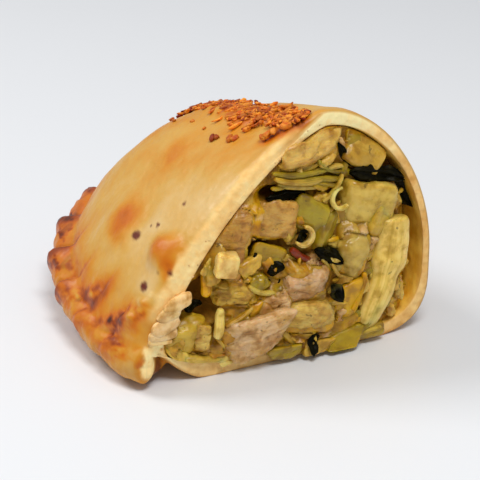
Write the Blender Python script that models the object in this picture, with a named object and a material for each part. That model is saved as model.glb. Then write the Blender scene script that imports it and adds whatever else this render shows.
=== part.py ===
# Half of a baked empanada, cut across the middle: a crust with a crimped edge round a chicken,
# leek and spinach filling. Metres, +Z up. It rests on its flat base with the cut facing -Y.
import math

import bmesh
import bpy
import numpy as np
from mathutils import Matrix, Vector, noise

# Driving dimensions, in metres. In the shape frame x = 0 is where the sealed edge starts on the
# cut face, +X runs to the folded side, y = 0 is the cut, +Y runs to the tip, and z = 0 is the table.
FOLD_X = 0.064
SEAM_X = -0.004
HEIGHT = 0.053
HALF_LENGTH = 0.069
APEX_X = 0.037
TIP_X = 0.041
TIP_Z = 0.016
TOP_SAG = 0.0046
SEAM_FLARE = 0.0035
BASE_FLAT = 0.0004
CRUST_TOP = 0.0028
CRUST_FOLD = 0.0024
CRUST_BASE = 0.0019
CRUST_SEAM = 0.0125
CRUST_TIP = 0.0065
CLEARANCE = 0.0004
SLUMP_AHEAD = 0.0010
SLUMP_HEIGHT = 0.0009
CRIMP_RADIUS = 0.0044
CRIMP_TIP_RADIUS = 0.0044
CRIMP_OUT = -0.0020
CRIMP_TIP_OUT = 0.0016
CRIMP_DROP = 0.0040
CRIMP_TIP_DROP = 0.0012
CRIMP_PITCH = 0.0126
CRIMP_FOLDS = 7
CRIMP_SLANT = 0.007
CRIMP_AHEAD = 0.0010
FOOTPRINT_X = 0.0278
FOOTPRINT_Y = 0.0324

# Mesh fineness.
AROUND = 52
CRUST_RINGS = 20
CAVITY_RINGS = 10
CORE_AROUND = 36
CRUMBS = 34
SEED = 7

# The pouch: its outline on the cut face, and how it changes towards the tip. The waist is the
# height where a section is widest, and the powers say how square its four quarters are.
OUTSIDE = {
    "fold": FOLD_X,
    "seam": SEAM_X,
    "apex": APEX_X,
    "top": HEIGHT,
    "length": HALF_LENGTH,
    "tip_x": TIP_X,
    "tip_z": TIP_Z,
    "waist_fold": 0.018,
    "waist_seam": 0.009,
    "base": 0.0,
    "seam_base": 0.0,
    "tip_base": 0.007,
    "power_fold": 1.9,
    "power_seam": 1.3,
    "power_base": 4.0,
    "notch": 0.74,
}


def inset(shape, gap):
    """The same pouch with every wall moved in by gap."""
    smaller = dict(shape)
    smaller["fold"] -= gap
    smaller["seam"] += gap
    smaller["top"] -= gap
    smaller["length"] -= gap
    smaller["base"] += gap
    return smaller


CAVITY = dict(
    OUTSIDE,
    fold=FOLD_X - CRUST_FOLD,
    seam=SEAM_X + CRUST_SEAM,
    apex=APEX_X + 0.001,
    top=HEIGHT - CRUST_TOP,
    length=HALF_LENGTH - CRUST_TIP,
    waist_seam=0.0125,
    base=CRUST_BASE,
    seam_base=0.0046,
    tip_base=0.010,
    power_seam=1.45,
    power_base=3.0,
    notch=0.0,
)
CLEAR = inset(CAVITY, CLEARANCE)
CORE = inset(CLEAR, 0.0004)

# Low relief of the crust: blisters and dents, as (x, y, z), radius and height.
SWELLINGS = [
    ((0.0055, 0.0035, 0.0267), 0.0040, 0.0010),
    ((0.0055, 0.0280, 0.0256), 0.0075, 0.0006),
    ((0.0250, 0.0440, 0.0375), 0.0150, 0.0022),
    ((0.0520, 0.0220, 0.0400), 0.0080, 0.0008),
    ((0.0320, 0.0140, 0.0500), 0.0110, -0.0008),
]

# What shows of the filling on the cut face, in millimetres: x and z of its middle, width, height
# and depth, turn on the face in degrees, and how far it stands out of the mass round it.
CHICKEN = [
    (26.2, 31.4, 9.6, 8.0, 7.0, -8, 3.2),
    (17.2, 28.2, 8.6, 14.5, 7.0, -24, 2.4),
    (32.6, 12.8, 14.0, 12.2, 9.0, 10, 2.6),
    (20.6, 7.2, 11.2, 8.2, 7.0, 12, 2.8),
    (10.8, 8.8, 4.6, 6.4, 4.0, -10, 2.2),
    (33.2, 45.2, 13.0, 6.6, 6.0, 4, 2.0),
    (18.2, 15.4, 7.6, 5.4, 5.0, 6, 2.2),
    (27.6, 23.8, 6.2, 4.6, 5.0, 8, 1.6),
]
CABBAGE = [
    (36.8, 28.8, 9.6, 10.0, 6.0, -12, 2.6),
    (50.0, 29.6, 13.0, 11.0, 6.0, -16, 2.4),
    (45.2, 20.8, 8.8, 10.5, 6.0, 14, 2.6),
    (47.6, 41.4, 9.4, 7.2, 5.0, -24, 1.8),
    (42.6, 8.6, 8.4, 8.6, 6.0, 0, 2.4),
    (50.6, 12.6, 5.8, 8.0, 5.0, -14, 1.6),
]
CHEESE = [(15.2, 24.0, 4.4, 5.4, 4.4, 4, 5.0)]

# Torn dough and crumbs on the cut edge, as the same sizes.
DOUGH = [
    (4.6, 17.4, 6.6, 2.6, 3.6, -16, 3.4),
    (0.6, 14.0, 4.4, 3.0, 3.0, 40, 2.4),
    (4.2, 12.6, 4.8, 3.2, 3.0, -8, 2.6),
    (1.6, 9.8, 4.0, 2.4, 2.6, 10, 2.2),
    (5.8, 8.6, 4.6, 3.0, 2.6, -20, 2.2),
    (11.6, 3.6, 6.4, 2.2, 2.4, 4, 1.8),
    (23.4, 43.0, 4.2, 3.0, 2.6, 50, 2.0),
]

# Leek strips, as the same sizes with the angle that the strip bends through, in degrees.
STRIPS = [
    (34.4, 40.2, 15.0, 2.2, 3.6, 4, 2.2, 24),
    (33.8, 37.6, 15.4, 1.8, 3.2, -3, 2.8, -18),
    (40.2, 36.0, 7.6, 1.8, 3.0, -62, 3.2, 80),
    (54.6, 20.4, 15.5, 4.2, 2.6, 74, 2.6, 40),
    (51.6, 8.4, 10.5, 3.6, 2.4, 84, 2.2, -24),
    (47.4, 4.6, 6.8, 2.2, 2.4, 66, 2.8, 16),
    (13.4, 12.0, 6.2, 1.7, 1.8, 86, 3.6, 10),
    (11.9, 20.4, 4.8, 2.0, 2.0, 78, 2.0, 20),
    (33.0, 26.6, 7.6, 1.1, 2.0, 40, 4.2, 210),
    (28.0, 4.0, 7.4, 2.0, 2.6, 8, 1.8, 24),
    (24.6, 17.6, 6.4, 1.8, 2.2, -30, 1.8, 30),
    (32.8, 22.2, 8.2, 1.3, 1.8, -26, 1.8, 30),
]

# Spinach leaves, as the same sizes with the height of their waves.
LEAVES = [
    (50.6, 37.2, 15.5, 4.4, 0.7, -32, 1.0, 0.9),
    (58.0, 29.6, 8.0, 3.2, 0.7, -58, 0.8, 0.6),
    (38.2, 22.2, 7.2, 3.4, 0.7, -22, 2.2, 0.6),
    (26.0, 20.8, 4.2, 2.8, 0.7, 10, 2.4, 0.4),
    (39.6, 14.2, 4.6, 3.4, 0.7, -56, 3.6, 0.5),
    (34.2, 3.4, 4.8, 2.6, 0.7, 80, 1.8, 0.4),
    (29.6, 35.4, 8.0, 2.4, 0.7, 6, 0.8, 0.5),
]


def signed_power(value, power):
    return np.sign(value) * np.abs(value) ** power


def bump(distance, radius):
    """1 in the middle, falling smoothly to nothing at about twice the radius."""
    return np.exp(-((distance / radius) ** 2))


def section(theta, shape):
    """Outline values of the section at angle theta, 0 at the cut and 90 degrees at the tip.

    Each wall runs to the tip as a power of the cosine, which rounds the plan and the profile. The
    base stays flat for most of the length and then lifts to the tip.
    """
    cosine = np.clip(np.cos(theta), 0, 1)
    sine = np.sin(theta)
    middle = np.sin(2 * theta)
    far = sine ** 2.4
    end = sine ** 6
    tip_x = shape["tip_x"]
    tip_z = shape["tip_z"]
    tip_base = shape["tip_base"] + (tip_z - shape["tip_base"]) * (1 - cosine ** 0.67)
    return {
        "y": shape["length"] * sine,
        "far": far,
        "fold": tip_x + (shape["fold"] - tip_x) * cosine ** 0.59,
        "seam": tip_x + (shape["seam"] - tip_x) * cosine ** 0.77 - SEAM_FLARE * middle,
        "apex": tip_x + (shape["apex"] - tip_x) * cosine ** 1.08,
        "top": tip_z + (shape["top"] - tip_z) * cosine ** 1.08 - TOP_SAG * middle,
        "waist_fold": shape["waist_fold"] + (tip_z - shape["waist_fold"]) * far,
        "waist_seam": shape["waist_seam"] + (tip_z - shape["waist_seam"]) * far,
        "base": shape["base"] + (tip_base - shape["base"]) * end,
    }


def powers(across, up, cut, shape):
    """The roundness of the quarter that a point is in, 2 being an ellipse."""
    upper = np.where(across >= 0, shape["power_fold"], shape["power_seam"])
    quarter = np.where(up >= 0, upper, shape["power_base"])
    return quarter + (2.2 - quarter) * cut["far"]


def place(theta, across, up, shape):
    """Shape-frame points from across (-1 seam to 1 fold) and up (-1 base to 1 top)."""
    cut = section(theta, shape)
    half_width = np.where(across >= 0, cut["fold"] - cut["apex"], cut["apex"] - cut["seam"])
    x = cut["apex"] + half_width * across
    seam_side = 0.5 - 0.5 * across
    waist = cut["waist_fold"] + (cut["waist_seam"] - cut["waist_fold"]) * seam_side
    base = cut["base"] + shape["seam_base"] * seam_side ** 2 * (1 - cut["far"])
    under = np.clip((0.010 - x) / 0.010, 0, 1) ** 1.6 * (1 - cut["far"])
    down = up * (1 - shape["notch"] * under)
    z = np.where(up >= 0, waist + (cut["top"] - waist) * up, waist + (waist - base) * down)
    return np.stack([x, cut["y"] + 0 * x, z], -1)


def pouch(theta, phi, shape):
    """Surface of the pouch: phi is 0 at the fold, 90 degrees on top, 180 at the seam."""
    theta, phi = np.broadcast_arrays(theta, phi)
    cut = section(theta, shape)
    cosine = np.cos(phi)
    sine = np.sin(phi)
    power = powers(cosine, sine, cut, shape)
    return place(theta, signed_power(cosine, 2 / power), signed_power(sine, 2 / power), shape)


def even_angles(count, shape):
    """Values of phi, from the seam round, that are evenly spaced along the cut outline."""
    fine = math.pi + np.linspace(0, 2 * math.pi, 1441)
    outline = pouch(0.0, fine, shape)
    steps = np.linalg.norm(np.diff(outline, axis=0), axis=1)
    travelled = np.concatenate([[0], np.cumsum(steps)])
    return np.interp(np.linspace(0, travelled[-1], count, endpoint=False), travelled, fine)


def cavity_angles():
    """Theta of each ring of the cavity, and of the clear space that lies inside it, from the cut."""
    return math.radians(84) * np.linspace(0, 1, CAVITY_RINGS) ** 0.9


def swelling(points):
    """Height of the crust's blisters and dents over the plain pouch."""
    height = np.zeros(points.shape[:-1])
    for centre, radius, lift in SWELLINGS:
        height = height + lift * bump(np.linalg.norm(points - np.array(centre), axis=-1), radius)
    return height


def normals(points):
    """Unit normals of a grid of points that closes on itself in its second direction."""
    along = np.gradient(points, axis=0)
    round_it = np.roll(points, -1, axis=1) - np.roll(points, 1, axis=1)
    normal = np.cross(round_it, along)
    return normal / (np.linalg.norm(normal, axis=2, keepdims=True) + 1e-12)


def rough(points, size, seed):
    """Smooth noise between -1 and 1 with features about as large as size."""
    flat = points.reshape(-1, 3) / size + seed * 11.3
    return np.array([noise.noise(Vector(p)) for p in flat]).reshape(points.shape[:-1])


def seam_path(distances):
    """The crimp's middle and radius at distances along the seam, and the directions round it.

    The directions are outward, and up and down the crust's two faces where they leave the seam.
    """
    theta = np.linspace(0, math.radians(89.4), 900)
    seam = pouch(theta, math.pi, OUTSIDE)
    steps = np.linalg.norm(np.diff(seam, axis=0), axis=1)
    travelled = np.concatenate([[0], np.cumsum(steps)])
    tangent = np.gradient(seam, travelled, axis=0)
    outward = np.stack([-tangent[:, 1], tangent[:, 0], 0 * theta], -1)
    over = pouch(theta, math.radians(150), OUTSIDE) - seam
    under = pouch(theta, math.radians(222), OUTSIDE) - seam
    frames = []
    for values in (seam, outward, over, under):
        frames.append(np.stack([np.interp(distances, travelled, values[:, k]) for k in range(3)], -1))
    line = frames[0]
    outward, over, under = [v / np.linalg.norm(v, axis=-1, keepdims=True) for v in frames[1:]]
    line[..., 1] += np.minimum(distances, 0)
    far = np.sin(np.interp(distances, travelled, theta))[..., None]
    drop = CRIMP_DROP + (CRIMP_TIP_DROP - CRIMP_DROP) * far
    middle = line + outward * (CRIMP_OUT + (CRIMP_TIP_OUT - CRIMP_OUT) * far)
    middle = middle - np.array([0, 0, 1.0]) * drop
    radius = CRIMP_RADIUS + (CRIMP_TIP_RADIUS - CRIMP_RADIUS) * far[..., 0]
    return middle, radius, outward, over, under


def loft(name, rings, start, end):
    """A closed mesh through rings of points, from a start point to an end point."""
    count = len(rings[0])
    points = [start] + [p for ring in rings for p in ring] + [end]
    faces = []
    for j in range(count):
        k = (j + 1) % count
        faces.append((0, 1 + k, 1 + j))
        last = 1 + (len(rings) - 1) * count
        faces.append((last + j, last + k, len(points) - 1))
        for i in range(len(rings) - 1):
            low = 1 + i * count
            faces.append((low + j, low + k, low + count + k, low + count + j))
    mesh = bpy.data.meshes.new(name)
    mesh.from_pydata([tuple(p) for p in points], [], faces)
    return solid(name, mesh)


def solid(name, mesh):
    """An object from a closed mesh, in triangles, with its faces turned out."""
    shape = bmesh.new()
    shape.from_mesh(mesh)
    bmesh.ops.triangulate(shape, faces=shape.faces)
    bmesh.ops.recalc_face_normals(shape, faces=shape.faces)
    shape.to_mesh(mesh)
    shape.free()
    thing = bpy.data.objects.new(name, mesh)
    bpy.context.scene.collection.objects.link(thing)
    return thing


def combine(base, extras, operation, solver):
    """Joins the extra solids to the base, or keeps what is inside them, in one Boolean."""
    group = bpy.data.collections.new(base.name + " parts")
    bpy.context.scene.collection.children.link(group)
    for extra in extras:
        bpy.context.scene.collection.objects.unlink(extra)
        group.objects.link(extra)
    cut = base.modifiers.new("Combine", "BOOLEAN")
    cut.operation = operation
    cut.operand_type = "COLLECTION"
    cut.collection = group
    cut.solver = solver
    evaluated = base.evaluated_get(bpy.context.evaluated_depsgraph_get())
    result = bpy.data.meshes.new_from_object(evaluated)
    base.modifiers.clear()
    base.data = result
    for extra in extras:
        bpy.data.objects.remove(extra)
    bpy.data.collections.remove(group)


def drop_scraps(thing):
    """Keeps the largest connected body of a mesh, and removes sealed hollows and loose scraps."""
    shape = bmesh.new()
    shape.from_mesh(thing.data)
    left = set(shape.verts)
    bodies = []
    while left:
        body = {left.pop()}
        front = set(body)
        while front:
            front = {e.other_vert(v) for v in front for e in v.link_edges} - body
            body |= front
        left -= body
        bodies.append(body)
    bodies.sort(key=len)
    scraps = [v for body in bodies[:-1] for v in body]
    bmesh.ops.delete(shape, geom=scraps, context="VERTS")
    bmesh.ops.triangulate(shape, faces=shape.faces)
    shape.to_mesh(thing.data)
    shape.free()


def crust_shell():
    """Outer wall from the tip to the cut, the crumbly cut edge, and the cavity back to its tip."""
    phi = even_angles(AROUND, OUTSIDE)
    theta = math.radians(86) * np.linspace(1, 0, CRUST_RINGS) ** 1.15
    outer = pouch(theta[:, None], phi[None, :], OUTSIDE)
    lift = swelling(outer) + 0.0006 * rough(outer, 0.016, 1) + 0.0003 * rough(outer, 0.006, 2)
    clear_of_table = np.clip(outer[..., 2] / 0.006, 0, 1)
    clear_of_cut = np.clip(outer[..., 1] / 0.004, 0.25, 1)
    wall = outer + normals(outer) * (lift * clear_of_table * clear_of_cut)[..., None]
    wall[-1, :, 1] = 0
    wall[..., 2] = np.maximum(wall[..., 2] - BASE_FLAT, 0)
    cavity = pouch(cavity_angles()[:, None], phi[None, :], CAVITY)
    edge = []
    for share in (0.18, 0.5, 0.82):
        ring = wall[-1] * (1 - share) + cavity[0] * share
        ring[:, 1] = 0.0004 * rough(ring, 0.0021, 3)
        edge.append(ring)
    rings = list(wall) + edge + list(cavity)
    tip = pouch(math.radians(89.9), math.pi / 2, OUTSIDE)
    cavity_tip = pouch(math.radians(89.9), math.pi / 2, CAVITY)
    return loft("crust", rings, tip, cavity_tip)


def crimp():
    """The twisted edge: a rope of overlapping folds that follows the seam from cut to tip.

    Each fold swells towards the tip and drops at a crease, which slants as it wraps the rope.
    Where the rope meets the crust's two faces it reaches along them, so that no groove is left.
    """
    psi = np.linspace(0, 2 * math.pi, 14, endpoint=False)
    slant = CRIMP_SLANT * (1 - np.cos(psi)) / 2
    rings = []
    steps = [(0.04, 0.80), (0.28, 0.93), (0.56, 1.04), (0.82, 1.12), (0.96, 0.98)]
    for fold in range(CRIMP_FOLDS):
        for share, swell in steps:
            turns = fold + share
            distance = -CRIMP_AHEAD + turns * CRIMP_PITCH
            middle, radius, outward, over, under = seam_path(distance - slant * min(turns, 1))
            ending = max(0, turns - CRIMP_FOLDS + 1.2) / 1.2
            if fold == 0:
                swell = max(swell, 0.95)
            size = radius * swell * (1 - 0.45 * ending ** 2)
            middle = middle - outward * (0.0045 * ending ** 2)
            round_it = outward * np.cos(psi)[:, None]
            round_it[:, 2] += 0.9 * np.sin(psi)
            along = np.clip((round_it * over).sum(axis=1), 0, 1) ** 7 * 0.95
            along += np.clip((round_it * under).sum(axis=1), 0, 1) ** 7 * 0.45
            ring = middle + round_it * (size * (1 + along))[:, None]
            ring[:, 2] = np.maximum(ring[:, 2], 0.0)
            rings.append(ring)
    return loft("crimp", rings, rings[0].mean(axis=0), rings[-1].mean(axis=0))


def crumb(centre, size, draw):
    """A small irregular lump with twenty faces."""
    shape = bmesh.new()
    bmesh.ops.create_icosphere(shape, subdivisions=1, radius=1)
    stretch = size * draw.uniform(0.7, 1.15, 3)
    for vert in shape.verts:
        vert.co = Vector(centre + np.array(vert.co) * stretch * draw.uniform(0.85, 1.15))
    mesh = bpy.data.meshes.new("crumb")
    shape.to_mesh(mesh)
    shape.free()
    return solid("crumb", mesh)


def cheese_topping():
    """Baked crumbs of grated cheese along the ridge, in a thick drift and a few strays."""
    draw = np.random.default_rng(SEED)
    crumbs = []
    for k in range(CRUMBS):
        share = (k + 0.5) / CRUMBS
        theta = math.radians(2 + 42 * share)
        stray = 14 if k % 6 == 5 else 0
        phi = math.radians(100 + stray + 5.5 * draw.standard_normal())
        size = draw.uniform(0.0010, 0.0016) * (1 + 0.6 * share ** 4)
        centre = pouch(theta, phi, OUTSIDE)
        centre[2] += swelling(centre)
        crumbs.append(crumb(centre, size, draw))
    return crumbs


def loose_dough():
    """The torn tongue over the gap by the seam, and the crumbs that the knife raised round it."""
    return [dice(*row, 3 if row[2] > 5 else 2) for row in DOUGH]


def front(x, z):
    """Depth of the filling's face behind the cut, in metres, from x and z in millimetres."""
    depth = 0.8 + 0.5 * np.sin(0.55 * x + 0.8) * np.sin(0.62 * z + 1.7)
    depth = depth - 3.6 * np.exp(-(((x - 33) / 15) ** 2) - ((z - 11) / 11) ** 2)
    depth = depth - 1.8 * np.exp(-(((x - 47) / 9) ** 2) - ((z - 24) / 8) ** 2)
    depth = depth + 6.0 * np.exp(-(((x - 60) / 8) ** 2) - ((z - 30) / 16) ** 2)
    depth = depth + 2.2 * np.exp(-(((x - 52) / 10) ** 2) - ((z - 44) / 6) ** 2)
    depth = depth + 5.5 * np.exp(-(((x - 10) / 4.0) ** 2) - ((z - 16.5) / 3.4) ** 2)
    depth = depth + 2.4 * np.exp(-(((x - 29) / 5) ** 2) - ((z - 35.4) / 1.6) ** 2)
    return depth / 1000


def turned(local, x, z, turn, stand_out, depth):
    """Moves points of a piece on to the cut face: turned on it, with their middle at x and z."""
    angle = math.radians(turn)
    across = local[:, 0] * math.cos(angle) - local[:, 2] * math.sin(angle)
    up = local[:, 0] * math.sin(angle) + local[:, 2] * math.cos(angle)
    y = front(x, z) + (depth / 2 - stand_out) / 1000 + local[:, 1]
    return np.stack([x / 1000 + across, y, z / 1000 + up], -1)


def dice(x, z, width, height, depth, turn, stand_out, cuts):
    """A lump cut by hand: a box with rounded corners and uneven faces, sizes in millimetres."""
    cube = bmesh.new()
    bmesh.ops.create_cube(cube, size=2)
    bmesh.ops.subdivide_edges(cube, edges=cube.edges, cuts=cuts - 1, use_grid_fill=True)
    local = np.array([v.co for v in cube.verts])
    local /= ((np.abs(local) ** 5).sum(axis=1) ** 0.2)[:, None]
    lumps = rough(local + np.array([x, z, width]), 0.9, 5)
    local = local * (1 + 0.16 * lumps)[:, None] * np.array([width, depth, height]) / 2000
    points = turned(local, x, z, turn, stand_out, depth)
    for vert, point in zip(cube.verts, points):
        vert.co = Vector(point)
    mesh = bpy.data.meshes.new("dice")
    cube.to_mesh(mesh)
    cube.free()
    return solid("dice", mesh)


def strip(x, z, length, width, depth, turn, stand_out, bend):
    """A cut strip of leek that bends through an angle, with its two edges rolled back a little."""
    arc = math.radians(bend)
    travel = np.linspace(-0.5, 0.5, 7)
    radius = length / arc
    rings = []
    for t in travel:
        lean = arc * t
        middle = np.array([radius * math.sin(lean), 0, radius * (1 - math.cos(lean))])
        side = np.array([-math.sin(lean), 0, math.cos(lean)])
        middle[2] -= radius * (1 - math.cos(arc / 2)) / 2
        taper = 1 - 0.5 * abs(2 * t) ** 4
        corners = [(-0.5, -0.28), (0, -0.5), (0.5, -0.28), (0.5, 0.5), (-0.5, 0.5)]
        ring = [middle + side * width * taper * a + np.array([0, depth * b, 0]) for a, b in corners]
        rings.append(np.array(ring) / 1000)
    count = len(rings[0])
    points = turned(np.concatenate(rings), x, z, turn, stand_out, depth)
    placed = [points[i : i + count] for i in range(0, len(points), count)]
    return loft("strip", placed, placed[0].mean(axis=0), placed[-1].mean(axis=0))


def leaf(x, z, length, width, thick, turn, stand_out, wave):
    """A wilted spinach leaf: a thin wavy solid whose two faces are alike, rooted in the mass."""
    along = np.linspace(-0.5, 0.5, 6)
    across = np.linspace(-0.5, 0.5, 3)
    u, v = np.meshgrid(along, across, indexing="ij")
    outline = np.sqrt(np.clip(1 - (2 * u) ** 2, 0.12, 1))
    ripple = wave * np.sin(2.2 * math.pi * u + 0.6) + 0.5 * wave * np.cos(4 * math.pi * v + 3 * u)
    face = np.stack([length * u, ripple - thick / 2, width * v * outline], -1)
    back = face + np.array([0, 3.2, 0])
    local = np.concatenate([face.reshape(-1, 3), back.reshape(-1, 3)]) / 1000
    points = turned(local, x, z, turn, stand_out, 0.0)
    rows, columns = u.shape
    size = rows * columns
    faces = []
    for i in range(rows - 1):
        for j in range(columns - 1):
            a = i * columns + j
            b = a + columns
            faces += [(a, b, b + 1), (a, b + 1, a + 1)]
            faces += [(size + a, size + b + 1, size + b), (size + a, size + a + 1, size + b + 1)]
    border = list(range(columns))
    border += [i * columns + columns - 1 for i in range(1, rows)]
    border += [(rows - 1) * columns + j for j in range(columns - 2, -1, -1)]
    border += [i * columns for i in range(rows - 2, 0, -1)]
    for a, b in zip(border, border[1:] + border[:1]):
        faces.append((a, b, size + b, size + a))
    mesh = bpy.data.meshes.new("leaf")
    mesh.from_pydata([tuple(p) for p in points], [], faces)
    return solid("leaf", mesh)


def filling_core():
    """The mass that fills the cavity, from the tip to an uneven face at the cut."""
    phi = even_angles(CORE_AROUND, CORE)
    edge = pouch(0.0, phi, CORE)
    start = np.arcsin(np.clip(front(edge[:, 0] * 1000, edge[:, 2] * 1000), 0.0006, 1) / CORE["length"])
    rings = []
    for share in np.linspace(1, 0, 9) ** 1.1:
        rings.append(pouch(start + (math.radians(83) - start) * share, phi, CORE))
    power = powers(np.cos(phi), np.sin(phi), section(0.0, CORE), CORE)
    across = signed_power(np.cos(phi), 2 / power)
    up = signed_power(np.sin(phi), 2 / power)
    for share in (0.86, 0.68, 0.50, 0.32, 0.15):
        ring = place(np.zeros(CORE_AROUND), across * share, up * share, CORE)
        ring[:, 1] = front(ring[:, 0] * 1000, ring[:, 2] * 1000)
        rings.append(ring)
    centre = place(np.array(0.0), np.array(0.0), np.array(0.0), CORE)
    centre[1] = front(centre[0] * 1000, centre[2] * 1000)
    tip = pouch(math.radians(89.9), math.pi / 2, CORE)
    return loft("filling", rings, tip, centre)


def clear_space():
    """The room that the filling may take: the cavity less its clearance, open ahead of the cut.

    Ahead of the cut the filling may also slump a little way over the thin base.
    """
    phi = even_angles(AROUND, OUTSIDE)
    rings = list(pouch(cavity_angles()[::-1, None], phi[None, :], CLEAR))
    edge = rings[-1]
    slump = edge.copy()
    low = np.clip((0.008 - slump[:, 2]) / 0.004, 0, 1) * np.clip((slump[:, 0] - 0.014) / 0.006, 0, 1)
    slump[:, 2] -= (slump[:, 2] - SLUMP_HEIGHT) * low
    rings.append(edge - np.array([0, SLUMP_AHEAD, 0]))
    rings.append(slump - np.array([0, SLUMP_AHEAD + 0.0001, 0]))
    rings.append(slump - np.array([0, 0.02, 0]))
    tip = pouch(math.radians(89.9), math.pi / 2, CLEAR)
    return loft("clear space", rings, tip, rings[-1].mean(axis=0))


def filling_pieces():
    """Everything that stands out of the mass on the cut face."""
    pieces = [dice(*row, 3 if row[2] * row[3] > 60 else 2) for row in CHICKEN + CABBAGE + CHEESE]
    pieces += [strip(*row) for row in STRIPS]
    pieces += [leaf(*row) for row in LEAVES]
    return pieces


def finish(thing, name, colour, roughness):
    """Gives an object its name, its material and smooth shading, and puts it in the part's frame."""
    thing.data.transform(Matrix.Translation((-FOOTPRINT_X, -FOOTPRINT_Y, 0)))
    thing.name = name
    thing.data.name = name
    material = bpy.data.materials.new(name)
    material.use_nodes = True
    shader = material.node_tree.nodes["Principled BSDF"]
    shader.inputs["Base Color"].default_value = (*colour, 1)
    shader.inputs["Roughness"].default_value = roughness
    thing.data.materials.clear()
    thing.data.materials.append(material)
    thing.data.shade_smooth()
    thing.data.set_sharp_from_angle(angle=math.radians(40))


def main():
    for thing in list(bpy.data.objects):
        bpy.data.objects.remove(thing)
    crust = crust_shell()
    combine(crust, [crimp()] + loose_dough() + cheese_topping(), "UNION", "EXACT")
    drop_scraps(crust)
    finish(crust, "crust", (0.72, 0.44, 0.17), 0.5)
    filling = filling_core()
    combine(filling, filling_pieces(), "UNION", "EXACT")
    combine(filling, [clear_space()], "INTERSECT", "EXACT")
    drop_scraps(filling)
    finish(filling, "filling", (0.42, 0.34, 0.12), 0.35)


main()
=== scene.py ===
import math

import bmesh
import bpy
import numpy as np
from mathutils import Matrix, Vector


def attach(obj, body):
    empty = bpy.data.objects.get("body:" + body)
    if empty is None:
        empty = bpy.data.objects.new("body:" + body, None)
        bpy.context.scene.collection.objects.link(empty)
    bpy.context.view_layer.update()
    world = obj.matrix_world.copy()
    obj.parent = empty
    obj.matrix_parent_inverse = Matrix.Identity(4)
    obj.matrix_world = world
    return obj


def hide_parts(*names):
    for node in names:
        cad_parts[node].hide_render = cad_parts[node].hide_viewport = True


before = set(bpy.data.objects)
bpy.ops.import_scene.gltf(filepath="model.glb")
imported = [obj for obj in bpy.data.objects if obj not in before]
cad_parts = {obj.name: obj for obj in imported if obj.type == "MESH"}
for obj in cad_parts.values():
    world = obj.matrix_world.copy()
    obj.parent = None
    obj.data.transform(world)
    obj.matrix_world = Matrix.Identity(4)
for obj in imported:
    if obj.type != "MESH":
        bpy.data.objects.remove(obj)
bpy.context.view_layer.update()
print("frame loaded, nodes:", ", ".join(sorted(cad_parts)))

footprint = np.array([0.0278, 0.0324, 0.0])  # from the shape's frame to the part's frame

# The pouch on the cut face, and how it changes towards the tip, as in the part's own solids.
pouchSizes = {
    "fold": 0.064, "seam": -0.004, "apex": 0.037, "top": 0.053,  # walls on the cut
    "waistFold": 0.018, "waistSeam": 0.009,  # height of the widest place at the fold and at the seam
    "base": 0.0, "seamBase": 0.0,  # underside, and its rise at the seam
    "notch": 0.74, "notchWidth": 0.010, "notchCurve": 1.6,  # how the seam's underside is cut back
    "length": 0.069, "tipX": 0.041, "tipZ": 0.016, "tipBase": 0.007,
    "topSag": 0.0046, "seamFlare": 0.0035,  # half way to the tip
    "foldCurve": 0.59, "seamCurve": 0.77, "topCurve": 1.08, "baseCurve": 0.67,
    "powerFold": 1.9, "powerSeam": 1.3, "powerBase": 4.0, "powerTip": 2.2,
}
# The hollow in the crust, where the filling lies.
hollowSizes = dict(
    pouchSizes, fold=0.0619, seam=0.0018, apex=0.038, top=0.0492, length=0.0625, waistSeam=0.0095,
    base=0.0019, seamBase=0.0006, tipBase=0.010, powerBase=3.4, notch=0.0,
)
clearance = 0.0003  # the filling keeps this far inside the hollow
clearSizes = dict(hollowSizes)
for wall, side in (("fold", -1), ("top", -1), ("length", -1), ("seam", 1), ("base", 1)):
    clearSizes[wall] += side * clearance


# blend = first + (second - first) * share
def blend(first, second, share):
    return first + (second - first) * share


# circle: angles round a circle, as many as asked for
def circle(count):
    return np.linspace(0, 2 * math.pi, count, endpoint=False)


# signedPower = sign(v) |v|^p
def signedPower(value, power):
    return np.sign(value) * np.abs(value) ** power


# bell = exp(-(d / r)^2)
def bell(distance, radius):
    return np.exp(-((distance / radius) ** 2))


# dome = exp(-(d / r)^3), flatter on top and steeper at its edge than the bell
def dome(distance, radius):
    return np.exp(-((distance / radius) ** 3))


# smoothStep = 3 t^2 - 2 t^3, t = (v - low) / (high - low) held between 0 and 1
def smoothStep(low, high, value):
    t = np.clip((value - low) / (high - low), 0, 1)
    return t * t * (3 - 2 * t)


# awayFrom = |p - centre|
def awayFrom(points, centre):
    return np.linalg.norm(points - np.array(centre), axis=-1)


# unit = v / |v|
def unit(vectors):
    return vectors / np.linalg.norm(vectors, axis=-1, keepdims=True)


latticePrimes = np.array([73856093, 19349663, 83492791])
mixingFactor = 1274126177


# latticeNoise = sum over the 8 corners of a cell of random(corner) * product of fade(1 - distance),
# fade(t) = 3 t^2 - 2 t^3, on a lattice of the given size, between -1 and 1
def latticeNoise(points, size, seed):
    spot = points / size + np.array([seed * 7.31, seed * 3.77, seed * 5.19])
    cell = np.floor(spot).astype(np.int64)
    part = spot - cell
    part = part * part * (3 - 2 * part)
    total = np.zeros(points.shape[:-1])
    for corner in range(8):
        step = np.array([corner & 1, corner >> 1 & 1, corner >> 2 & 1])
        i, j, k = np.moveaxis((cell + step) * latticePrimes, -1, 0)
        mixed = i ^ j ^ k
        mixed = ((mixed ^ (mixed >> 13)) * mixingFactor) & 0x7FFFFFFF
        value = ((mixed ^ (mixed >> 15)) & 65535) / 32767.5 - 1  # 16 bits of it, as -1 to 1
        total = total + value * np.prod(np.where(step == 1, part, 1 - part), axis=-1)
    return total


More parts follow.
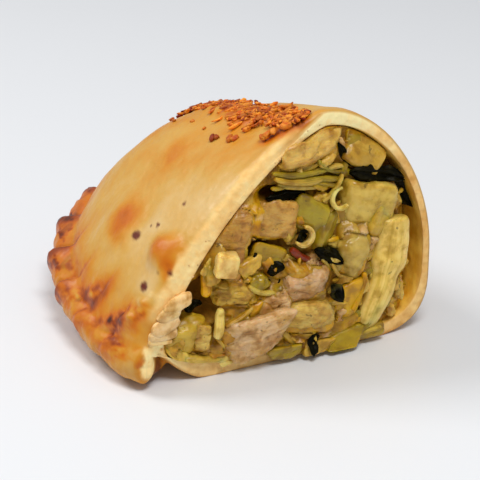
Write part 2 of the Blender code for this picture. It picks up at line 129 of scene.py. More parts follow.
# cloud = sum of latticeNoise(size / 2^k) / 2^k over the octaves
def cloud(points, size, seed, octaves=2):
    total = 0
    for k in range(octaves):
        total = total + latticeNoise(points, size / 2**k, seed + 3 * k) / 2**k
    return total


# section: each wall at angle theta is blend(tip, wall at the cut, cos(theta)^curve)
def section(theta, sizes):
    cosine = np.clip(np.cos(theta), 0, 1)
    sine = np.sin(theta)
    middle = np.sin(2 * theta)
    far = np.abs(sine) ** 2.4
    tipX = sizes["tipX"]
    tipZ = sizes["tipZ"]
    tipBase = blend(sizes["tipBase"], tipZ, 1 - cosine ** sizes["baseCurve"])
    seam = blend(tipX, sizes["seam"], cosine ** sizes["seamCurve"])
    top = blend(tipZ, sizes["top"], cosine ** sizes["topCurve"])
    return {
        "y": sizes["length"] * sine,
        "far": far,
        "fold": blend(tipX, sizes["fold"], cosine ** sizes["foldCurve"]),
        "seam": seam - sizes["seamFlare"] * middle,
        "apex": blend(tipX, sizes["apex"], cosine ** sizes["topCurve"]),
        "top": top - sizes["topSag"] * middle,
        "waistFold": blend(sizes["waistFold"], tipZ, far),
        "waistSeam": blend(sizes["waistSeam"], tipZ, far),
        "base": blend(sizes["base"], tipBase, sine**6),
    }


# quarterPower: the superellipse power of the quarter that (across, up) is in, changing towards the tip
def quarterPower(across, up, cut, sizes):
    upper = np.where(across >= 0, sizes["powerFold"], sizes["powerSeam"])
    quarter = np.where(up >= 0, upper, sizes["powerBase"])
    return blend(quarter, sizes["powerTip"], cut["far"])


# levels: waist and base from the fold's side, across = 1, to the seam's, across = -1
def levels(across, cut, sizes):
    seamSide = 0.5 - 0.5 * across
    waist = blend(cut["waistFold"], cut["waistSeam"], seamSide)
    return waist, cut["base"] + sizes["seamBase"] * seamSide**2 * (1 - cut["far"])


# place: x = apex + halfWidth * across, z = waist + (top - waist) * up or waist + (waist - base) * up
def place(theta, across, up, sizes):
    cut = section(theta, sizes)
    halfWidth = np.where(across >= 0, cut["fold"] - cut["apex"], cut["apex"] - cut["seam"])
    x = cut["apex"] + halfWidth * across
    waist, base = levels(across, cut, sizes)
    under = np.clip((sizes["notchWidth"] - x) / sizes["notchWidth"], 0, 1) ** sizes["notchCurve"]
    under = under * (1 - cut["far"])
    down = up * (1 - sizes["notch"] * under)
    z = np.where(up >= 0, waist + (cut["top"] - waist) * up, waist + (waist - base) * down)
    return np.stack([x, cut["y"] + 0 * x, z], -1)


# pouch: across = sgn(cos phi) |cos phi|^(2 / n), up = sgn(sin phi) |sin phi|^(2 / n)
def pouch(theta, phi, sizes):
    theta, phi = np.broadcast_arrays(theta, phi)
    power = quarterPower(np.cos(phi), np.sin(phi), section(theta, sizes), sizes)
    across = signedPower(np.cos(phi), 2 / power)
    return place(theta, across, signedPower(np.sin(phi), 2 / power), sizes)


# travelAlong: the distance along a line of points, 0 at its first
def travelAlong(line):
    steps = np.linalg.norm(np.diff(line, axis=0), axis=1)
    return np.concatenate([[0], np.cumsum(steps)])


# evenAngles: phi at equal lengths round the outline of the cut
def evenAngles(count, sizes):
    fine = math.pi + np.linspace(0, 2 * math.pi, 2881)
    travelled = travelAlong(pouch(0.0, fine, sizes))
    return np.interp(np.linspace(0, travelled[-1], count, endpoint=False), travelled, fine)


# keepInside: m = |across|^n + |up|^n is 1 on the pouch's wall, and points with m > 1 go back to it,
# (across, up) / m^(1 / n)
def keepInside(points, sizes):
    theta = np.arcsin(np.clip(points[..., 1] / sizes["length"], 0, 0.98))
    cut = section(theta, sizes)
    reach = points[..., 0] - cut["apex"]
    across = reach / np.where(reach >= 0, cut["fold"] - cut["apex"], cut["apex"] - cut["seam"])
    waist, base = levels(np.clip(across, -1, 1), cut, sizes)
    rise = points[..., 2] - waist
    up = rise / np.where(rise >= 0, cut["top"] - waist, waist - base)
    power = quarterPower(across, up, cut, sizes)
    share = np.abs(across) ** power + np.abs(up) ** power
    back = np.where(share > 1, share ** (-1 / power), 1.0)
    moved = place(theta, across * back, up * back, sizes)
    moved[..., 1] = points[..., 1]
    return np.where((share > 1)[..., None], moved, points)


# gridNormals = (next column - last column) x (d / d row), to unit length, columns closing on themselves
def gridNormals(points):
    along = np.gradient(points, axis=0)
    around = np.roll(points, -1, axis=1) - np.roll(points, 1, axis=1)
    normal = np.cross(around, along)
    return normal / (np.linalg.norm(normal, axis=2, keepdims=True) + 1e-12)


# closedTube: rings of points joined by quads, and a fan of triangles to a point at each end, which is
# the middle of the end ring unless it is given
def closedTube(rings, start=None, end=None):
    start = rings[0].mean(axis=0) if start is None else start
    end = rings[-1].mean(axis=0) if end is None else end
    count, around = rings.shape[:2]
    points = np.concatenate([start[None], rings.reshape(-1, 3), end[None]])
    j = np.arange(around)
    k = (j + 1) % around
    last = 1 + (count - 1) * around
    row = np.arange(count - 1)[:, None] * around + 1
    quads = np.stack([row + j, row + k, row + around + k, row + around + j], -1).reshape(-1, 4)
    startFan = np.stack([0 * j, 1 + k, 1 + j], -1)
    endFan = np.stack([last + j, last + k, 0 * j + len(points) - 1], -1)
    return points, [startFan, quads, endFan]


# joinShapes: points, grain and colour end to end, corner numbers raised by the points before them
def joinShapes(shapes):
    faces = []
    before = 0
    for shape in shapes:
        faces += [corners + before for corners in shape[1]]
        before += len(shape[0])
    points, grain, colour = [np.concatenate([shape[k] for shape in shapes]) for k in (0, 2, 3)]
    return points, faces, grain, colour


# addValues: one value, vector or colour for each point, kept as a named attribute
def addValues(mesh, name, kind, field, values):
    layer = mesh.attributes.new(name, kind, "POINT")
    layer.data.foreach_set(field, values.astype(np.float32).ravel())


# buildMesh: volume = sum over triangles of a . (b x c) / 6; below 0 the corners are turned round
def buildMesh(name, points, faces):
    triangles = [corners[:, :3] for corners in faces]
    triangles += [corners[:, [0, 2, 3]] for corners in faces if corners.shape[1] == 4]
    a, b, c = [points[np.concatenate(triangles)[:, k]] for k in range(3)]
    if (a * np.cross(b, c)).sum() < 0:
        faces = [corners[:, ::-1] for corners in faces]
    sizes = np.concatenate([np.full(len(corners), corners.shape[1]) for corners in faces])
    flat = np.concatenate([corners.ravel() for corners in faces])
    mesh = bpy.data.meshes.new(name)
    mesh.vertices.add(len(points))
    mesh.vertices.foreach_set("co", (points - footprint).astype(np.float32).ravel())
    mesh.loops.add(len(flat))
    mesh.loops.foreach_set("vertex_index", flat.astype(np.int32))
    mesh.polygons.add(len(sizes))
    starts = np.concatenate([[0], np.cumsum(sizes)[:-1]])
    mesh.polygons.foreach_set("loop_start", starts.astype(np.int32))
    mesh.update(calc_edges=True)
    mesh.shade_smooth()
    return mesh


# addObject: puts a mesh, lamp or camera into the scene
def addObject(name, data):
    thing = bpy.data.objects.new(name, data)
    bpy.context.scene.collection.objects.link(thing)
    return thing


# addFoodPiece: a mesh with its grain and its tone for the material to read
def addFoodPiece(name, points, faces, grain, colour):
    thing = addObject(name, buildMesh(name, points, faces))
    addValues(thing.data, "grain", "FLOAT_VECTOR", "vector", grain)
    addValues(thing.data, "tone", "FLOAT_COLOR", "color", colour)
    return thing


# dressPiece: material, ride and replaced node of a finished piece, and its triangles counted and printed
def dressPiece(thing, material, node):
    thing.data.materials.clear()
    thing.data.materials.append(material)
    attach(thing, "root")
    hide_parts(node)
    corners = sum(len(face.vertices) - 2 for face in thing.data.polygons)
    print("  ", thing.name, corners, "triangles")


# tint: 0 to 255 as seen on a screen to the linear values that a shader takes
def tint(red, green, blue):
    seen = np.array([red, green, blue]) / 255
    linear = np.where(seen > 0.04045, ((seen + 0.055) / 1.055) ** 2.4, seen / 12.92)
    return (*[float(v) for v in linear], 1.0)


# feed: links an output to a socket, or sets the socket's own value
def feed(tree, socket, value):
    if isinstance(value, bpy.types.NodeSocket):
        tree.links.new(value, socket)
    else:
        socket.default_value = value


# addNode: a node with its settings, and its inputs by name or number
def addNode(tree, kind, settings, inputs):
    made = tree.nodes.new(kind)
    for key, value in settings.items():
        setattr(made, key, value)
    for key, value in inputs.items():
        feed(tree, made.inputs[key], value)
    return made


# calculate: one operation of a Math node on two or three values
def calculate(tree, operation, *values):
    return addNode(tree, "ShaderNodeMath", {"operation": operation}, dict(enumerate(values))).outputs[0]


# newGroup: a shader group that takes a vector and named numbers and gives one number
def newGroup(name, numbers, result):
    group = bpy.data.node_groups.new(name, "ShaderNodeTree")
    group.interface.new_socket("Vector", in_out="INPUT", socket_type="NodeSocketVector")
    for label, value in numbers.items():
        socket = group.interface.new_socket(label, in_out="INPUT", socket_type="NodeSocketFloat")
        socket.default_value = value
    group.interface.new_socket(result, in_out="OUTPUT", socket_type="NodeSocketFloat")
    taken = group.nodes.new("NodeGroupInput").outputs
    return group, taken, group.nodes.new("NodeGroupOutput").inputs[result]


# makeMottle: the group mottleMask, cloudy noise through a smooth step from Low to High
def makeMottle():
    group, taken, given = newGroup("mottleMask", {"Scale": 200.0, "Low": 0.35, "High": 0.65}, "Mask")
    cloudy = {"Vector": taken["Vector"], "Scale": taken["Scale"], "Detail": 3.0}
    noise = addNode(group, "ShaderNodeTexNoise", {}, cloudy)
    limits = {"Value": noise.outputs["Fac"], "From Min": taken["Low"], "From Max": taken["High"]}
    ranged = addNode(group, "ShaderNodeMapRange", {"interpolation_type": "SMOOTHSTEP"}, limits)
    feed(group, given, ranged.outputs["Result"])
    return group


# makeCrumbRelief: the group crumbRelief, noise + Pores * distance to the nearest cell's middle
def makeCrumbRelief():
    group, taken, given = newGroup("crumbRelief", {"Scale": 900.0, "Pores": 0.5}, "Height")
    spread = {"Vector": taken["Vector"], "Scale": taken["Scale"]}
    cells = addNode(group, "ShaderNodeTexVoronoi", {}, spread)
    noise = addNode(group, "ShaderNodeTexNoise", {}, dict(spread, Detail=4.0))
    pitted = calculate(group, "MULTIPLY", cells.outputs["Distance"], taken["Pores"])
    feed(group, given, calculate(group, "ADD", noise.outputs["Fac"], pitted))
    return group


mottleGroup = makeMottle()
crumbGroup = makeCrumbRelief()


# attribute: one output of a named attribute of the piece's points
def attribute(tree, name, output):
    return addNode(tree, "ShaderNodeAttribute", {"attribute_name": name}, {}).outputs[output]


# mottle: the mottleMask group in a material
def mottle(tree, vector, scale, low, high):
    values = {"Vector": vector, "Scale": scale, "Low": low, "High": high}
    return addNode(tree, "ShaderNodeGroup", {"node_tree": mottleGroup}, values).outputs["Mask"]


# addBump: the crumbRelief group times share, with ribs added, as bumps of the given height
def addBump(tree, surface, where, scale, pores, distance, share=None, ribs=None):
    values = {"Vector": where, "Scale": scale, "Pores": pores}
    height = addNode(tree, "ShaderNodeGroup", {"node_tree": crumbGroup}, values).outputs["Height"]
    if share is not None:
        height = calculate(tree, "MULTIPLY", height, share)
    if ribs is not None:
        height = calculate(tree, "ADD", ribs, height)
    bump = addNode(tree, "ShaderNodeBump", {}, {"Height": height, "Distance": distance})
    feed(tree, surface["Normal"], bump.outputs["Normal"])


# mixColours: first towards second by share, or first times second in the mode MULTIPLY
def mixColours(tree, share, first, second, mode="MIX"):
    settings = {"data_type": "RGBA", "blend_type": mode}
    return addNode(tree, "ShaderNodeMix", settings, {0: share, 6: first, 7: second}).outputs[2]


# colourRamp: colours by position, straight between them
def colourRamp(tree, share, stops):
    ramp = addNode(tree, "ShaderNodeValToRGB", {}, {"Fac": share})
    while len(ramp.color_ramp.elements) < len(stops):
        ramp.color_ramp.elements.new(0.5)
    for element, (position, colour) in zip(ramp.color_ramp.elements, stops):
        element.position = position
        element.color = tint(*colour)
    return ramp.outputs["Color"]


# newMaterial: gloss and soft scattering from the finish; surface is the shader's inputs, where the
# piece's own place
def newMaterial(name, finish):
    material = bpy.data.materials.new(name)
    material.use_nodes = True
    tree = material.node_tree
    surface = tree.nodes["Principled BSDF"].inputs
    settings = {
        "Roughness": finish["roughness"], "Specular IOR Level": finish["shine"],
        "Coat Weight": finish["coat"], "Coat Roughness": 0.25,
        "Subsurface Weight": finish["soft"], "Subsurface Scale": finish["radius"],
        "Subsurface Radius": (1.0, 0.6, 0.3),  # red light goes deepest
    }
    for socket, value in settings.items():
        surface[socket].default_value = value
    where = addNode(tree, "ShaderNodeTexCoord", {}, {}).outputs["Object"]
    return material, tree, surface, where


# The crust reads its "bake" attribute: red is browning, green the cut dough, blue the inner wall,
# alpha the dark spots and the painted shadow in the notch at the twisted edge's end.
crustFinish = {
    "roughness": 0.54, "coat": 0.03, "shine": 0.30, "soft": 0.05, "radius": 0.0012,
    "skin": [
        (0.00, (219, 182, 118)),
        (0.20, (209, 160, 74)),
        (0.40, (206, 135, 30)),
        (0.58, (198, 104, 2)),
        (0.78, (152, 63, 0)),
        (1.00, (72, 26, 2)),
    ],
    "cut": [(0.0, (255, 236, 172)), (0.35, (255, 212, 136)), (0.7, (228, 172, 92)), (1.0, (176, 116, 50))],
    "inner": [(0.0, (255, 208, 76)), (1.0, (226, 164, 30))],
    # the colour of the dark spots and of the painted shadow in the notch
    "spot": (100, 34, 8),
    # Scale, low and high of the soft, small and fine mottling, and how far it changes the browning.
    "mottles": [(95.0, 0.30, 0.70), (330.0, 0.30, 0.72), (420.0, 0.25, 0.80)],
    "softChange": 0.12, "smallChange": 0.06, "fineChange": 0.34, "fineStart": -0.12,
    "rough": 0.36, "cutRough": 0.40, "mottleRough": 0.12,
    "grit": 0.20, "cutGrit": 0.35, "gritScale": 620.0, "gritDepth": 0.0006,
}


# makeCrustMaterial: skin, cut dough and inner wall mixed by the bake masks; cut dough is duller and
# has more grit
def makeCrustMaterial(finish):
    material, tree, surface, where = newMaterial("crust bake", finish)
    bake = attribute(tree, "bake", "Color")
    masks = addNode(tree, "ShaderNodeSeparateColor", {}, {"Color": bake}).outputs
    soft, small, fine = [mottle(tree, where, *values) for values in finish["mottles"]]
    brown = masks["Red"]
    for mask, change in ((soft, finish["softChange"]), (small, finish["smallChange"])):
        change = calculate(tree, "MULTIPLY_ADD", mask, change, -change / 2)
        brown = calculate(tree, "ADD", brown, change)
    toast = calculate(tree, "MULTIPLY_ADD", fine, finish["fineChange"], finish["fineStart"])
    toast = calculate(tree, "ADD", toast, masks["Red"])
    skin = colourRamp(tree, brown, finish["skin"])
    colour = mixColours(tree, masks["Green"], skin, colourRamp(tree, toast, finish["cut"]))
    colour = mixColours(tree, masks["Blue"], colour, colourRamp(tree, small, finish["inner"]))
    colour = mixColours(tree, attribute(tree, "bake", "Alpha"), colour, tint(*finish["spot"]))
    feed(tree, surface["Base Color"], colour)
    dull = calculate(tree, "MULTIPLY_ADD", masks["Green"], finish["cutRough"], finish["rough"])
    rough = calculate(tree, "MULTIPLY_ADD", small, finish["mottleRough"], dull)
    feed(tree, surface["Roughness"], rough)
    grit = calculate(tree, "MULTIPLY_ADD", masks["Green"], finish["cutGrit"], finish["grit"])
    addBump(tree, surface, where, finish["gritScale"], 0.8, finish["gritDepth"], share=grit)
    return material


crustMaterial = makeCrustMaterial(crustFinish)
print("crust material made")

crustLook = {
    "rows": 160, "around": 372, "rimRows": 13, "hollowRows": 12,
    "lastRing": 88.4, "lastHollow": 84,  # degrees towards the tip
    "waves": 0.0006, "dimples": 0.0003, "skin": 0.00005,  # height of the noise, from wide to fine
    "foldRise": 0.0016, "foldLevel": 0.94, "foldNear": 0.0055, "foldFar": 0.0150,  # beside the edge
    "cheesyRise": 0.0003, "cheesyNoise": 0.0004,  # under the cheese
    "tableFade": 0.006, "cutFade": 0.004, "sink": 0.0004,
    "roll": 0.0024, "flatRoll": 0.0005,  # how far the wall rolls in at the cut, on the flank and elsewhere
    "rimRough": 0.00022, "cornerRough": 0.0003, "rimIn": 0.0002,
    "rowSpread": 1.3, "hollowSpread": 1.5,  # above 1, the rings lie closer near the cut
    "waveSpan": 0.016, "dimpleSpan": 0.006, "skinSpan": 0.0016,
    "cornerAt": (0.002, 0.009), "cornerReach": (0.009, 0.012),  # x and z
}
# Blisters and dents: x, y, z, radius and height in metres.
swellings = [
    (0.0054, 0.0056, 0.0264, 0.0038, 0.0014), (0.0050, 0.0084, 0.0262, 0.0032, 0.0008),
    (0.0055, 0.0280, 0.0256, 0.0075, 0.0006), (0.0250, 0.0440, 0.0375, 0.0150, 0.0022),
    (0.0520, 0.0220, 0.0400, 0.0080, 0.0008), (0.0320, 0.0140, 0.0500, 0.0110, -0.0008),
]
# Folds that run from the edge onto the crust: two ends, radius and height in millimetres, browning.
foldRidges = [
    ((-5.0, 34.0, 6.5), (-3.3, 22.0, 12.2), 2.3, 0.9, 0.42),
    ((-3.8, 23.8, 5.8), (-4.1, 11.4, 11.0), 2.0, 0.9, 0.26),
    ((-4.1, 11.4, 11.0), (-1.2, 2.4, 16.4), 2.0, 0.9, 0.30),
    ((-4.2, 9.6, 5.0), (-4.5, 7.2, 8.2), 2.0, 0.5, 0.42),
]
# Where the cheese lies: theta and phi in degrees along its middle, and half its width in millimetres.
cheeseDrift = [
    (0.5, 103, 2.4), (4, 103, 3.2), (8, 103, 4.2), (13, 103, 4.8), (18, 103, 5.0),
    (23, 102, 4.8), (28, 100, 4.2), (33, 99, 4.0), (37, 100, 3.6), (42, 103, 2.8),
]
# Slow changes of the browning: axis, from and to in millimetres, strength.
bakeRamps = [(2, 30, 6, 0.11), (2, 36, 52, 0.08), (1, 16, 44, 0.05), (1, 45, 66, 0.10)]
# Browning on the crust: x, y, z and radius in millimetres, strength; negative strengths make it paler,
# and the two paler patches on the shoulder, at x 14.5 and 11 mm, are a painted highlight.
bakeSpotsAndHighlights = [
    (5.4, 5.4, 26.4, 3.9, 0.36), (7.4, 2.6, 29.0, 2.2, 0.12), (5.0, 9.0, 26.4, 3.2, 0.30),
    (3.4, 1.8, 23.8, 2.2, 0.42), (1.8, 1.2, 20.6, 2.2, 0.10), (27.5, 5.4, 47.6, 2.6, 0.42),
    (30.3, 2.4, 49.6, 3.0, 0.44), (5.8, 27.5, 26.0, 4.6, 0.36), (4.6, 23.0, 23.0, 3.4, 0.12),
    (-0.8, 17.0, 17.6, 3.6, 0.14), (-2.4, 19.0, 14.9, 3.0, 0.16), (22.0, 46.0, 34.0, 6.5, 0.14),
    (19.0, 28.0, 37.8, 4.0, 0.16), (17.9, 20.0, 38.4, 4.0, 0.14), (21.6, 12.7, 42.4, 5.5, 0.12),
    (15.6, 30.6, 34.8, 6.0, 0.08), (30.0, 38.0, 40.0, 8.0, 0.14), (33.0, 20.0, 47.5, 8.0, 0.14),
    (32.0, 4.0, 50.5, 5.0, 0.12), (30.0, 62.0, 20.0, 10.0, 0.16), (50.0, 30.0, 38.0, 9.0, 0.14),
    (58.0, 14.0, 30.0, 8.0, 0.10), (56.0, 40.0, 16.0, 8.0, 0.16), (60.0, 22.0, 8.0, 7.0, 0.18),
    # painted highlight: the first two here, paler on the shoulder
    (14.5, 3.5, 37.1, 6.5, -0.10), (11.0, 12.0, 33.0, 7.0, -0.08), (1.0, 3.0, 19.0, 3.4, -0.08),
    (62.5, 8.0, 22.0, 7.0, -0.06),
]
# Small dark dots: x, y, z and radius in millimetres.
pinDots = [
    (4.6, 19.1, 25.3, 1.19), (3.4, 8.4, 24.1, 0.84), (0.5, 6.3, 19.6, 1.05), (11.7, 11.2, 33.7, 0.56),
    (7.3, 14.2, 28.8, 0.56), (6.7, 16.5, 28.0, 0.48), (3.6, 0.8, 23.9, 0.84), (-2.8, 30.4, 6.5, 0.84),
    (-3.3, 26.8, 5.9, 0.77), (2.9, 4.1, 23.1, 0.63), (52.0, 36.0, 30.0, 0.84), (57.0, 20.0, 27.0, 0.70),
    (40.0, 50.0, 34.0, 0.84), (18.0, 52.0, 24.0, 0.77),
]


# ridgeShare = bell(distance of p to the line between the ends, radius), the line wavy by noise
def ridgeShare(points, start, end, radius):
    first = np.array(start) / 1000
    along = np.array(end) / 1000 - first
    wavy = points + 0.0009 * cloud(points, 0.005, 30)[..., None]
    share = np.clip(((wavy - first) * along).sum(axis=-1) / (along**2).sum(), 0, 1)
    away = np.linalg.norm(wavy - first - share[..., None] * along, axis=-1)
    return bell(away, radius / 1000)


# swellingHeight = sum of lift * dome(|p - centre|, radius), and of the ridges, wrinkled by noise
def swellingHeight(points):
    height = np.zeros(points.shape[:-1])
    for *centre, radius, lift in swellings:
        height = height + lift * dome(awayFrom(points, centre), radius)
    wrinkle = 1 + 0.7 * cloud(points * np.array([1, 1, 2.6]), 0.0030, 29)
    for start, end, radius, lift, brown in foldRidges:
        height = height + lift / 1000 * ridgeShare(points, start, end, radius) * wrinkle
    return height


# driftShare: 1 in the middle of the cheese, falling as a bell of its width, ragged by noise
def driftShare(points):
    numbers = np.arange(len(cheeseDrift))
    steps = np.linspace(0, numbers[-1], 40)
    theta, phi, width = [np.interp(steps, numbers, column) for column in np.array(cheeseDrift).T]
    share = np.zeros(points.shape[:-1])
    for centre, reach in zip(pouch(np.radians(theta), np.radians(phi), pouchSizes), width / 1000):
        share = np.maximum(share, bell(awayFrom(points, centre), reach))
    return np.clip(share * (1 + 0.5 * cloud(points, 0.0045, 46)), 0, 1)


# rolledEdge: how far the skin turns in near the cut, roll * (1 - sqrt(1 - (1 - y / (1.2 roll))^2))
def rolledEdge(y, phi, look):
    degrees = np.degrees(phi) % 360
    flank = smoothStep(84, 112, degrees) * (1 - smoothStep(168, 186, degrees))
    roll = blend(look["flatRoll"], look["roll"], flank)
    near = np.clip(1 - y / (1.2 * roll), 0, 1)
    return roll * (1 - np.sqrt(1 - near**2))


# crustShape: outer = pouch + normal * (swellings + noise), rim = (1 - t) outer + t hollow, rough in y,
# then the hollow; returns the region of each face too: 0 skin, 2 cut, 3 inner wall
def crustShape(look):
    around = look["around"]
    phi = evenAngles(around, pouchSizes)
    theta = math.radians(look["lastRing"]) * np.linspace(1, 0, look["rows"]) ** look["rowSpread"]
    outer = pouch(theta[:, None], phi[None, :], pouchSizes)
    lift = swellingHeight(outer) + look["waves"] * latticeNoise(outer, look["waveSpan"], 1)
    lift = lift + look["dimples"] * latticeNoise(outer, look["dimpleSpan"], 2)
    lift = lift + look["skin"] * cloud(outer, look["skinSpan"], 4)
    gap, turns = edgePlace(outer, crimpLook)[:2]
    beside = smoothStep(look["foldFar"], look["foldNear"], gap)
    lift = lift + look["foldRise"] * (foldSwell(turns % 1) - look["foldLevel"]) * beside
    cheesy = smoothStep(0.35, 0.8, driftShare(outer))
    lift = lift + cheesy * (look["cheesyRise"] + look["cheesyNoise"] * cloud(outer, look["skinSpan"], 5))
    clearOfTable = np.clip(outer[..., 2] / look["tableFade"], 0, 1)
    clearOfCut = np.clip(outer[..., 1] / look["cutFade"], 0.25, 1)
    normals = gridNormals(outer)
    wall = outer + normals * (lift * clearOfTable * clearOfCut)[..., None]
    wall = wall - normals * (rolledEdge(outer[..., 1], phi[None, :], look) * clearOfTable)[..., None]
    wall[-1, :, 1] = 0
    wall[..., 2] = np.maximum(wall[..., 2] - look["sink"], 0)
    depth = math.radians(look["lastHollow"]) * np.linspace(0, 1, look["hollowRows"]) ** look["hollowSpread"]
    hollow = pouch(depth[:, None], phi[None, :], hollowSizes)
    share = np.linspace(0, 1, look["rimRows"] + 2)[1:-1, None, None]
    rim = wall[-1][None] * (1 - share) + hollow[0][None] * share
    (cornerX, cornerZ), (reachX, reachZ) = look["cornerAt"], look["cornerReach"]
    corner = bell(rim[..., 0] - cornerX, reachX) * bell(rim[..., 2] - cornerZ, reachZ)
    rough = look["rimRough"] + look["cornerRough"] * np.clip(corner, 0, 1)
    torn = 0.6 * cloud(rim, 0.0030, 11, 3) - np.abs(latticeNoise(rim, 0.0012, 12)) * 0.5
    edge = np.sin(math.pi * share[..., 0]) ** 0.4
    rim[..., 1] = torn * rough * edge - look["rimIn"] * edge
    rings = np.concatenate([wall, rim, hollow])
    tips = [pouch(math.radians(89.9), math.pi / 2, sizes) for sizes in (pouchSizes, hollowSizes)]
    points, faces = closedTube(rings, *tips)
    bands = np.arange(len(rings) - 1)
    kind = np.where(bands < look["rows"] - 1, 0, np.where(bands < look["rows"] + look["rimRows"], 2, 3))
    region = np.concatenate([np.zeros(around), np.repeat(kind, around), np.full(around, 3)])
    return points, faces, region


crimpLook = {
    "radius": 0.0044, "flat": 0.9, "out": -0.0020, "tipOut": 0.0016, "drop": 0.0040, "tipDrop": 0.0012,
    "pitch": 0.0126, "folds": 7, "slant": 0.007, "ahead": 0.0010,
    "perFold": 60, "around": 64, "capRings": 6,
    "narrowing": 0.0075, "rounding": 0.0018,  # lengths over which the cut end narrows and rounds
    "narrowShare": 0.44, "roundShare": 0.14, "narrowIn": (0.0009, 0, -0.0004),
    "nearSwell": 0.22, "deepFrom": 2.2, "deepTo": 3.4,  # folds near the cut swell less; turns
    "pleats": 3, "pleat": 0.05, "reachPower": 7,
    "endTurns": 1.2, "endThin": 0.45, "endIn": 0.0045,  # how the far end thins and turns in
    "overReach": 0.95, "underReach": 0.45,  # how far it runs out onto the crust's two faces
    "wrinkle": 0.00022, "skin": 0.0001, "capRough": 0.00045,
}
# How a fold swells along its length: rising in two steps like a rounded saw tooth, then dropping.
swellKnots = [0.0, 0.04, 0.12, 0.30, 0.44, 0.49, 0.56, 0.76, 0.87, 0.93, 1.0]
swellSizes = [0.66, 0.70, 0.86, 0.96, 1.04, 0.98, 1.00, 1.14, 1.18, 1.08, 0.66]


# foldSwell: the size of the edge at a share of its fold, straight between the knots
def foldSwell(share):
    return np.interp(share, swellKnots, swellSizes)


# seamPath: the pouch at phi = 180 degrees, moved out and down; with it the outward direction, and
# those up and down the crust's two faces where they leave the seam
def seamPath(distances, look):
    theta = np.linspace(0, math.radians(89.4), 900)
    seam, over, under = [pouch(theta, math.radians(phi), pouchSizes) for phi in (180, 150, 222)]
    travelled = travelAlong(seam)
    tangent = np.gradient(seam, travelled, axis=0)
    outward = np.stack([-tangent[:, 1], tangent[:, 0], 0 * theta], -1)
    read = []
    for values in (seam, outward, over - seam, under - seam):
        read.append(np.stack([np.interp(distances, travelled, values[:, k]) for k in range(3)], -1))
    middle = read[0]
    outward, over, under = [unit(values) for values in read[1:]]
    middle[..., 1] += np.minimum(distances, 0)
    far = np.sin(np.interp(distances, travelled, theta))[..., None]
    middle = middle + outward * blend(look["out"], look["tipOut"], far)
    middle = middle - np.array([0, 0, 1.0]) * blend(look["drop"], look["tipDrop"], far)
    return middle, outward, over, under


# slantLag: how far a fold lags behind at psi round the edge, slant * (1 - cos psi) / 2
def slantLag(psi, look):
    return look["slant"] * (1 - np.cos(psi)) / 2


# crimpShape: p = middle(s) + (outward cos psi + up sin psi) * radius * swell, s = turns * pitch -
# slantLag; the cut end is rounded by a quarter circle, and its cap is rough
def crimpShape(look):
    around = look["around"]
    psi = circle(around)
    turns = np.linspace(0.04, look["folds"] - 0.04, look["folds"] * look["perFold"])
    lag = slantLag(psi, look) * np.minimum(turns, 1)[:, None]
    middle, outward, over, under = seamPath(-look["ahead"] + turns[:, None] * look["pitch"] - lag, look)
    share = turns % 1
    ending = np.clip((turns - look["folds"] + look["endTurns"]) / look["endTurns"], 0, 1)[:, None]
    deep = blend(look["nearSwell"], 1, smoothStep(look["deepFrom"], look["deepTo"], turns))
    swell = (1 + (foldSwell(share) - 1) * deep)[:, None]
    swell = np.where(turns[:, None] < 1, np.maximum(swell, 0.95), swell)
    size = look["radius"] * swell * (1 - look["endThin"] * ending**2)
    middle = middle - outward * (look["endIn"] * ending**2)[..., None]
    travelled = (turns - turns[0])[:, None] * look["pitch"]
    rounding = 1 - np.sqrt(1 - np.clip(1 - travelled / look["rounding"], 0, 1) ** 2)
    narrow = smoothStep(look["narrowing"], 0.0005, travelled)
    middle = middle - narrow[..., None] * np.array(look["narrowIn"])
    wide = 1 - look["narrowShare"] * narrow - look["roundShare"] * rounding
    ring = outward * (np.cos(psi)[None, :] * wide)[..., None]
    ring[..., 2] += look["flat"] * np.sin(psi) * (1 - look["roundShare"] * rounding)
    along = np.clip((ring * over).sum(axis=-1), 0, 1) ** look["reachPower"] * look["overReach"]
    along = along + np.clip((ring * under).sum(axis=-1), 0, 1) ** look["reachPower"] * look["underReach"]
    angle = look["pleats"] * psi[None, :] + 2 * math.pi * share[:, None] + 0.7
    pleat = look["pleat"] * np.sin(angle)
    pleat = pleat * np.sin(math.pi * share[:, None])
    points = middle + ring * (size * (1 + along + pleat))[..., None]
    wrinkle = look["wrinkle"] * latticeNoise(points * np.array([1.0, 1.0, 0.6]), 0.0021, 21)
    points = points + ring * (wrinkle + look["skin"] * cloud(points, 0.0011, 22))[..., None]
    inner = np.linspace(0.15, 0.92, look["capRings"])[:, None, None]
    cap = points[0].mean(axis=0) * (1 - inner) + points[0][None] * inner
    cap[..., 1] += look["capRough"] * cloud(cap, 0.0014, 23) - 0.0003
    points = np.concatenate([cap, points])
    points[..., 2] = np.maximum(points[..., 2], 0.0)
    shape, faces = closedTube(points)
    return shape, faces, np.full((len(points) + 1) * around, 1)


# uniteShapes: one MANIFOLD union, applied, with the regions of the faces kept as material numbers
def uniteShapes(first, second):
    regions = [bpy.data.materials.new("region%d" % number) for number in range(4)]
    made = []
    for name, (points, faces, region) in (("crustWall", first), ("crustEdge", second)):
        thing = addObject(name, buildMesh(name, points, faces))
        for marker in regions:
            thing.data.materials.append(marker)
        thing.data.polygons.foreach_set("material_index", region.astype(np.int32))
        made.append(thing)
    wall, edge = made
    union = wall.modifiers.new("unite", "BOOLEAN")
    union.operation = "UNION"
    union.object = edge
    union.solver = "MANIFOLD"
    union.material_mode = "INDEX"
    evaluated = wall.evaluated_get(bpy.context.evaluated_depsgraph_get())
    mesh = bpy.data.meshes.new_from_object(evaluated)
    wall.modifiers.clear()
    wall.data = mesh
    bpy.data.objects.remove(edge)
    return wall


